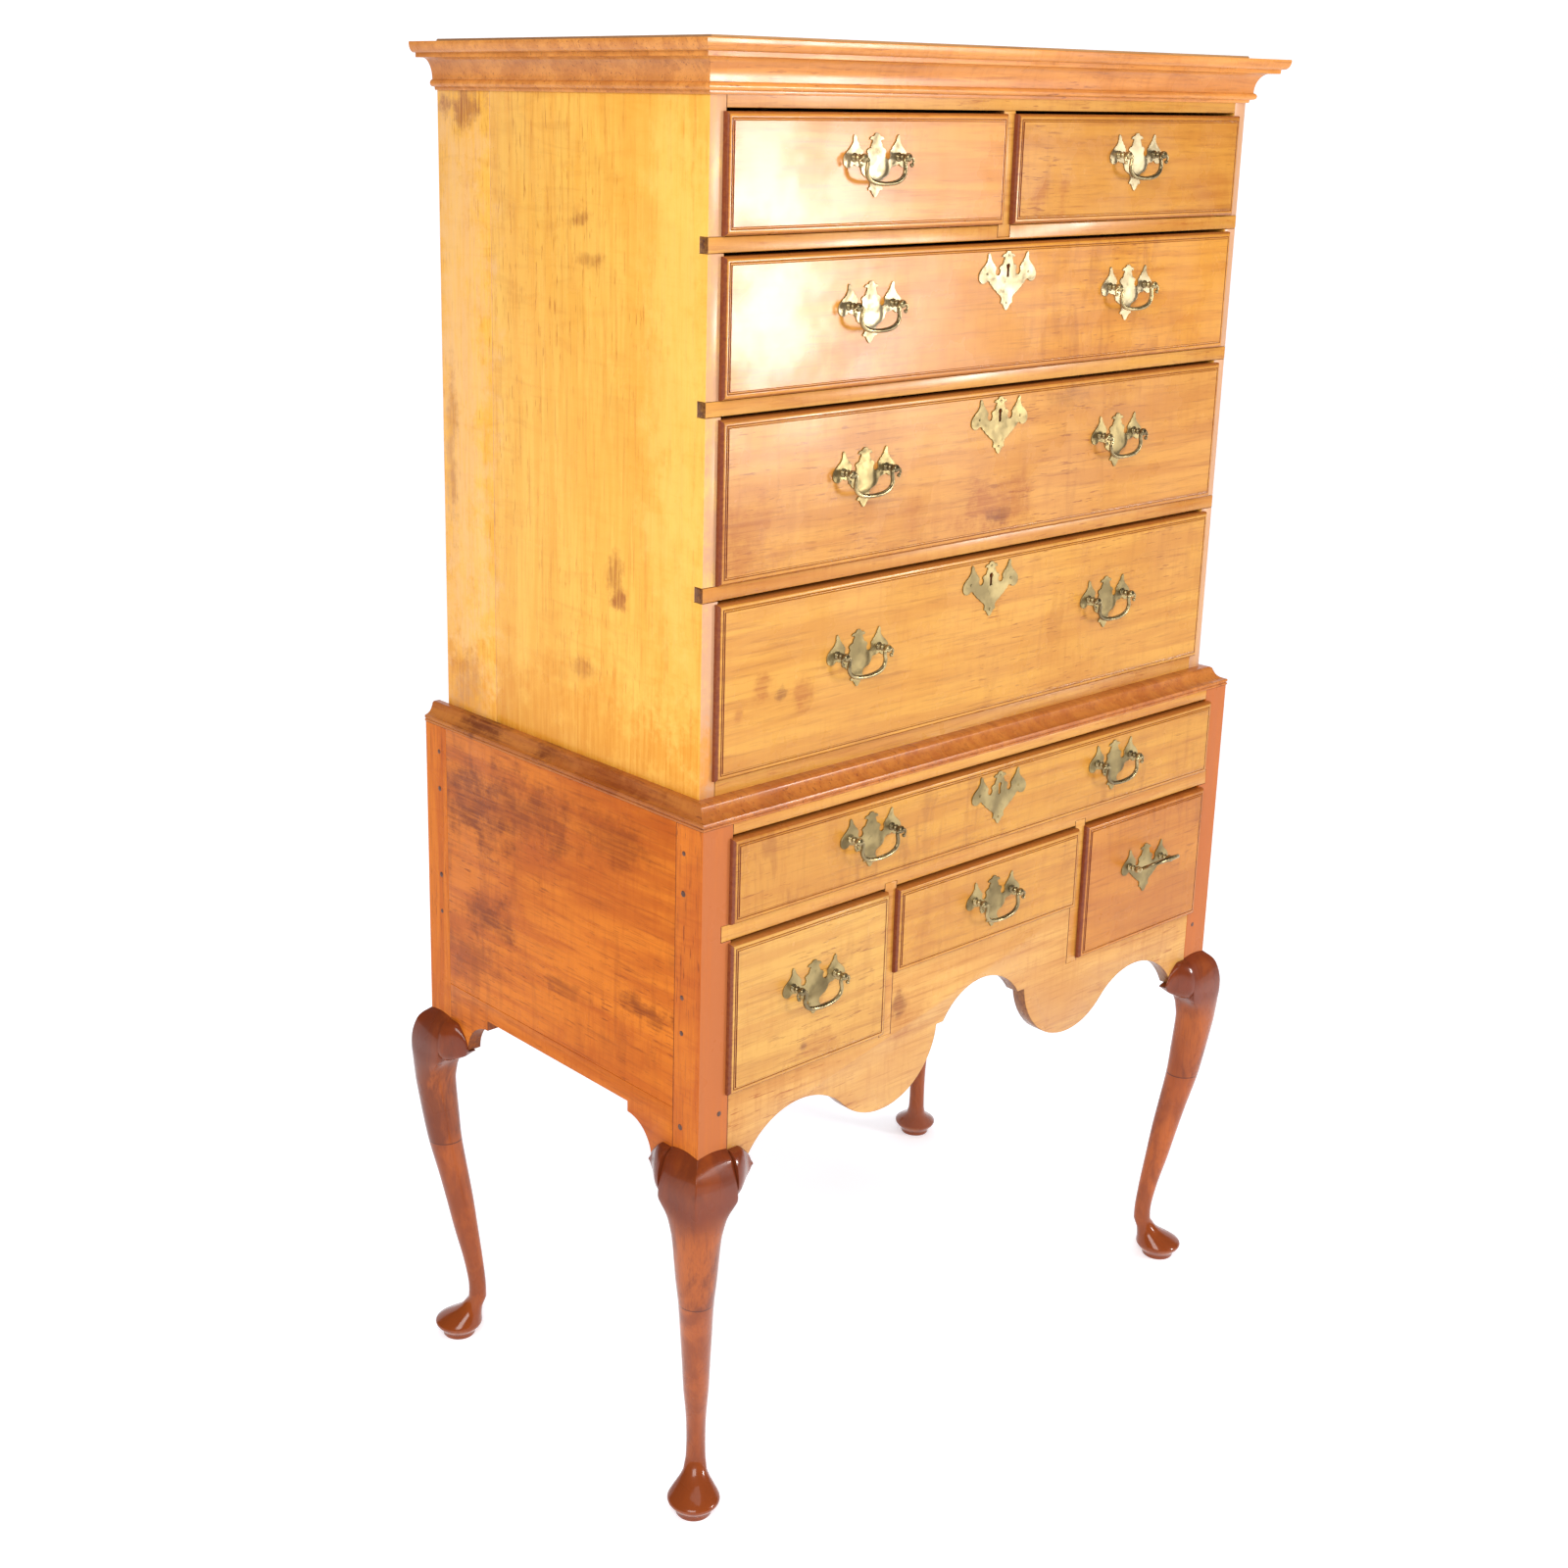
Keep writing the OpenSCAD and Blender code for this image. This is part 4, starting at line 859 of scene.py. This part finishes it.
# Right half of a pierced bat-wing plate (mm), the crown, the wing and the two kinds of foot
CROWN = [(2.6, 26.4), (4.3, 24), (5.6, 22.9), (8.6, 22.8), (10.8, 21.2), (11.2, 19.6), (8.4, 19.8),
         (6.6, 18.8), (6.2, 17.3), (8.0, 15), (8.6, 12.2), (10.2, 10.0), (12.8, 9.6), (15.2, 7.6)]
NOTCH = bend(18.6, 2.2, 4.9, 4.9, 128, 392, 12)
WING = [(22.4, 7.4), (25.0, 9.2), (25.4, 11.4), (28.4, 12.8), (29.0, 15.2), (31.4, 17.0),
        (32.6, 20.6), (34.2, 23.6), (36.0, 25.0), (37.6, 22.8), (37.4, 17), (41, 11.6),
        (46.6, 7.2), (51, 2.5), (52.6, -2), (52, -6.7), (49, -10.2), (45, -11.5), (41, -10.6),
        (38, -8.2)]
BELLY = [(36, -7.2), (33.4, -9), (28.6, -9.4), (24.6, -10.6), (23.2, -13.4), (22.2, -17),
         (18.4, -20.6), (13, -22.6), (9.6, -25), (8.4, -28.4), (8.6, -31.6), (11.6, -34.4),
         (10.4, -36.2), (7, -36), (5.6, -38.4), (3.4, -41.4), (1.2, -44.2)]
VEE = [(36, -8.4), (33.2, -9.2), (31.6, -12.4), (28, -14.4), (25.4, -18), (21, -20.2),
       (17.6, -23.8), (13, -26), (9.6, -29.4), (9.4, -33), (10.6, -36.2), (6.6, -37.2),
       (4.8, -40), (1.4, -44.8)]


def plate_mesh(name, vee=False, keyhole=False):
    """A pierced plate in X and Z with filed edges, its back at y = 0 and its face at -PLATE_T."""
    half = CROWN + NOTCH + WING + (VEE if vee else BELLY)
    outline = half + [(-x, z) for x, z in reversed(half)]
    data = bpy.data.curves.new(name, "CURVE")
    data.dimensions = "2D"
    data.fill_mode = "BOTH"
    file = 0.00035
    data.bevel_depth = file
    data.bevel_resolution = 1
    data.extrude = PLATE_T / 2 - file
    loops = [chaikin(outline, 2)]
    if keyhole:
        slot = bend(0, 8.2, 3.6, 3.6, -48, 228, 12) + [(-2.3, -5.2), (2.3, -5.2)]
        loops.append(slot)
    for loop in loops:
        spline = data.splines.new("POLY")
        spline.points.add(len(loop) - 1)
        for point, (x, z) in zip(spline.points, loop):
            point.co = (x * MM, z * MM, 0, 1)
        spline.use_cyclic_u = True
    obj = bpy.data.objects.new(name, data)
    bpy.context.scene.collection.objects.link(obj)
    graph = bpy.context.evaluated_depsgraph_get()
    mesh = bpy.data.meshes.new_from_object(obj.evaluated_get(graph))
    bpy.data.objects.remove(obj)
    bpy.data.curves.remove(data)
    mesh.transform(Matrix.Translation((0, -PLATE_T / 2, 0)) @ Matrix.Rotation(math.pi / 2, 4, "X"))
    return mesh


POST_PROFILE = [(-0.4, 2.2), (0, 5.0), (0.9, 5.3), (1.7, 4.6), (2.3, 3.3), (3.6, 2.7), (5.4, 2.9),
                (6.3, 3.9), (7.2, 4.5), (8.1, 4.1), (8.8, 3.1), (9.8, 2.6), (10.9, 2.9),
                (11.9, 3.9), (13.3, 4.7), (15.0, 5.0), (16.6, 4.9), (18.0, 4.2), (19.0, 3.2),
                (19.6, 2.0), (20.1, 1.5), (20.5, 0.5)]


def post_mesh(x, y, z, back):
    """A turned post standing out of a plate at y, with its shank through the front to back."""
    head = [(d * MM, r * MM) for d, r in POST_PROFILE]
    shank = lathe([(-(back - y) - 0.006, 0.0024), (-0.0004, 0.0024)], (x, y, z), (0, -1, 0),
                  "shank", 16)
    turned = lathe(head, (x, y, z), (0, -1, 0), "post", 32)
    nut = lathe([(0, 0.0064), (0.0006, 0.007), (0.0034, 0.007), (0.004, 0.0064)],
                (x, back + 0.0001, z), (0, 1, 0), "nut", 12)
    return [shank, turned, nut]


# The bail from its left end ball, round the bow, as X and Z from the middle of the pins (mm)
BAIL_END = [(-42.2, -7.6), (-43.6, -5.6), (-43.8, -3.2), (-42.4, -1.0), (-40, 0), (-36, 0),
            (-32.6, -0.2), (-30.6, -1.6), (-29.8, -4.2), (-30.4, -8.6), (-31.2, -13),
            (-30.4, -18), (-27, -22.6), (-21, -26), (-12, -28), (0, -28.7)]
BAIL_RADII = [1.2, 1.4, 1.5, 1.55, 1.55, 1.6, 1.8, 2.2, 2.4, 2.5, 2.55, 2.6, 2.7, 2.8, 2.9, 2.95]


def bail_mesh(name):
    ends = list(zip(BAIL_END, BAIL_RADII))
    half = [(x, z, r) for (x, z), r in ends]
    full = half + [(-x, z, r) for x, z, r in reversed(half[:-1])]
    points = curve_through(full, 4)
    path = [Vector((x * MM, 0, z * MM)) for x, z, r in points]
    flat = [1.0 - 0.18 * max(0, 1 - abs(x) / 20) for x, z, r in points]
    rod = sweep(path, [r * MM for x, z, r in points], name, 16, flat)
    parts = [rod]
    for side in (-1, 1):
        bm = bmesh.new()
        bmesh.ops.create_uvsphere(bm, u_segments=16, v_segments=10, radius=2.5 * MM,
                                  matrix=Matrix.Translation((side * 41.4 * MM, 0, -8.6 * MM)))
        parts.append(finish_mesh(bm, "ball"))
    return join(parts, name)


def add_bails(m):
    """One bail is stored lifted, so it starts from that angle."""
    for body, pins in HINGES.items():
        lifted = math.radians(122) if body == "bail_lower_right" else 0.0
        mesh = bail_mesh(body)
        mesh.transform(Matrix.Translation(pins) @ Matrix.Rotation(-lifted, 4, "X"))
        piece = link(body + "_bow", mesh, m["turned"])
        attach(piece, body)
        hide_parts(body)


def add_drawer_brass(m):
    pulls = {d: [] for d in DRAWERS}
    for j in frame["joints"]:
        if j["type"] == "hinge":
            pulls[j["parent"][len("drawer_"):]].append(Vector(j["pos_m"]))
    for drawer in DRAWERS:
        body = "drawer_" + drawer
        node = "brass_" + drawer
        lo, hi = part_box("front_" + drawer)
        # the top drawers and the first long drawer take the paler plate brass: painted glare
        light = drawer.startswith("top") or drawer == "upper_long_1"
        metal = m["plate_light" if light else "plate"]
        made = []
        for n, pin in enumerate(pulls[drawer]):
            tag = "%s_%d" % (drawer, n + 1)
            plate = plate_mesh("plate_" + tag, vee=drawer == "lower_right")
            plate.transform(Matrix.Translation((pin.x, lo.y, pin.z)))
            made.append(link("plate_" + tag, plate, metal))
            parts = []
            for s in (-1, 1):
                parts += post_mesh(pin.x + s * PULL_SPAN / 2, lo.y - PLATE_T, pin.z, hi.y)
            made.append(link("posts_" + tag, join(parts, "posts_" + tag), m["turned"]))
        if drawer in LOCKED or drawer == "lower_long":
            z = hi.z - LOCK_DROP
            plate = plate_mesh("escutcheon_" + drawer, vee=True, keyhole=True)
            plate.transform(Matrix.Translation((0, lo.y, z)))
            made.append(link("escutcheon_" + drawer, plate, metal))
            nails = []
            for x, dz in ((-38, 0), (38, 0), (0, -36), (0, 21)):
                nails.append(lathe([(-0.004, 0.0008), (0, 0.0009), (0.0001, 0.0017),
                                    (0.0006, 0.0015), (0.0009, 0.0008)],
                                   (x * MM, lo.y - PLATE_T, z + dz * MM), (0, -1, 0), "nail", 14))
            made.append(link("nails_" + drawer, join(nails, "nails_" + drawer), metal))
        if drawer in LOCKED:
            lock = link("lock_" + drawer, box_mesh((-0.032, hi.y, z - 0.022),
                                                   (0.032, hi.y + 0.011, z + 0.02), "lock"),
                        m["iron"])
            soften(lock, 0.001)
            made.append(lock)
        for piece in made:
            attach(piece, body)
            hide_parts(node)


# ---- Drawer fronts


# The edge of a lipped front: distance in from its end and height over the case (mm)
EDGE = ([(0, 0.35), (0, 2.7), (0.15, 3.1)] + bend(5.3, 3.1, 5.15, 4.9, 180, 82, 10)
        + [(6.3, 7.5), (6.45, 7.0), (6.7, 6.9)] + bend(8.0, 7.0, 1.15, 1.2, 170, 40, 6)
        + [(9.1, 7.6), (9.3, 7.7), (9.4, 8.75), (9.65, 9.0)])


def front_mesh(drawer):
    lo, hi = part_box("front_" + drawer)
    box_lo, box_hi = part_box("box_" + drawer)
    face = lo.y + PROUD

    def ring(x0, x1, z0, z1, y):
        return [Vector((x0, y, z0)), Vector((x1, y, z0)), Vector((x1, y, z1)), Vector((x0, y, z1))]

    spare = 0.3 * MM
    rings = [ring(box_lo.x, box_hi.x, lo.z + spare, hi.z - spare, y)
             for y in (hi.y, face - spare)]
    rings += [ring(lo.x + d * MM, hi.x - d * MM, lo.z + d * MM, hi.z - d * MM, face - h * MM)
              for d, h in EDGE]
    return loft(rings, "front_" + drawer)


def add_fronts():
    for k, drawer in enumerate(DRAWERS):
        piece = link("front_%s_lipped" % drawer, front_mesh(drawer), front_wood(drawer, 11.3 + 1.7 * k))
        if drawer in LOCKED:
            lo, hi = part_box("front_" + drawer)
            z = hi.z - LOCK_DROP
            cut(piece, (-0.003, lo.y - 0.01, z - 0.0062), (0.003, hi.y + 0.01, z + 0.0118))
        crisp(piece.data)
        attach(piece, "drawer_" + drawer)
        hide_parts("front_" + drawer)


# ---- Mouldings


def cornice_profile(out, height):
    return ([(0, 0), (2.6, 0.1), (3.0, 0.8), (3.2, 3.6)] + bend(6.8, 8.4, 3.2, 4.0, -80, 70, 8)
            + [(7.6, 12.3), (6.6, 12.5), (6.5, 13.0)]
            + bend(out - 19.5, 13.0, 14, height - 31.5, 180, 90, 12)
            + [(out - 10.2, height - 18.5), (out - 9.6, height - 18.2), (out - 9.5, height - 13.4),
               (out - 8.6, height - 13.0)]
            + bend(out - 7, height - 1.0, 7, 12, -90, 0, 9) + [(out - 0.6, height), (0, height)])


def waist_profile(out, height):
    """A fillet, a groove, a hollow and a rounded shoulder."""
    return ([(0, 0), (out - 0.6, 0), (out - 0.1, 0.5), (out - 0.1, 2.4), (out - 0.5, 2.9),
             (out - 1.3, 3.1), (out - 1.4, 3.9), (out - 0.8, 4.3), (out - 0.1, 4.8),
             (out - 0.1, height * 0.3), (out - 0.5, height * 0.325)]
            + bend(out, height * 0.9, out * 0.5, height * 0.56, 268, 195, 10)
            + bend(out * 0.3, height * 0.84, out * 0.18, height * 0.16, 0, 90, 7) + [(0, height)])


def moulding_piece(points, corner, y_end, side, z, name):
    """A length of moulding mitred at the front corner: along the side when side is -1 or 1, or
    along the front when side is 0. points pairs the outline for the sides and for the front."""
    cx, cy = corner
    gap = 0.0002
    rings = []
    for t in (0, 1):
        ring = []
        for (side_out, rise), (front_out, same) in points:
            s, f = side_out * MM, front_out * MM
            if side:
                y = (cy - f + gap) if t == 0 else y_end
                ring.append(Vector((side * (cx + s), y, z + rise * MM)))
            else:
                ring.append(Vector(((cx + s) * (1 if t else -1), cy - f, z + rise * MM)))
        rings.append(ring)
    mesh = loft(rings, name)
    crisp(mesh)
    return mesh


def add_mouldings(m):
    lo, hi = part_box("cornice")
    out, height = (hi.x - HALF_UPPER) / MM, (hi.z - lo.z) / MM
    shapes = [("cornice", m["cornice"], [cornice_profile(out, height)] * 2, lo, hi)]
    lo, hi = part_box("waist_moulding")
    height = (hi.z - lo.z) / MM
    shapes.append(("waist_moulding", m["moulding"],
                   [waist_profile((hi.x - HALF_UPPER) / MM, height),
                    waist_profile((Y_UP - lo.y) / MM, height)], lo, hi))
    for node, material, (sides, front), lo, hi in shapes:
        pairs = list(zip(sides, front))
        for side, label in ((-1, "left"), (0, "front"), (1, "right")):
            mesh = moulding_piece(pairs, (HALF_UPPER, Y_UP), hi.y, side, lo.z, node)
            piece = link("%s_%s" % (node, label), mesh, material)
            crisp(piece.data)
            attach(piece, "case")
            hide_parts(node)


# ---- CAD pieces that keep their shape


def dress(node, material, width=0.0009, angle=40, dissolve=True):
    obj = frame["nodes"][node]
    obj.data.materials.clear()
    obj.data.materials.append(material)
    soften(obj, width, 2, angle, dissolve)


def dress_case(m):
    for side in ("left", "right"):
        dress("upper_side_" + side, m["upper_side"], 0.0012)
        dress("lower_side_" + side, m["lower_side"], 0.0009)
    dress("upper_rails", m["front"], 0.0008)
    dress("lower_rails", m["front"], 0.0008)
    dress("front_apron", m["apron"], 0.0012)
    dress("upper_top_board", m["back"], 0.0015)
    dress("upper_bottom_board", m["inside"])
    dress("upper_back_boards", m["back"], 0.0012)
    dress("lower_back", m["back"], 0.0012)
    dress("drawer_runners", m["inside"], 0.0006)
    for drawer in DRAWERS:
        dress("box_" + drawer, m["inside"], 0.0008)


add_camera()
add_stage()
MATERIALS = make_materials()
dress_case(MATERIALS)
add_fronts()
add_mouldings(MATERIALS)
add_legs(MATERIALS)
add_knee_blocks(MATERIALS)
add_pegs(MATERIALS)
add_drawer_brass(MATERIALS)
add_bails(MATERIALS)
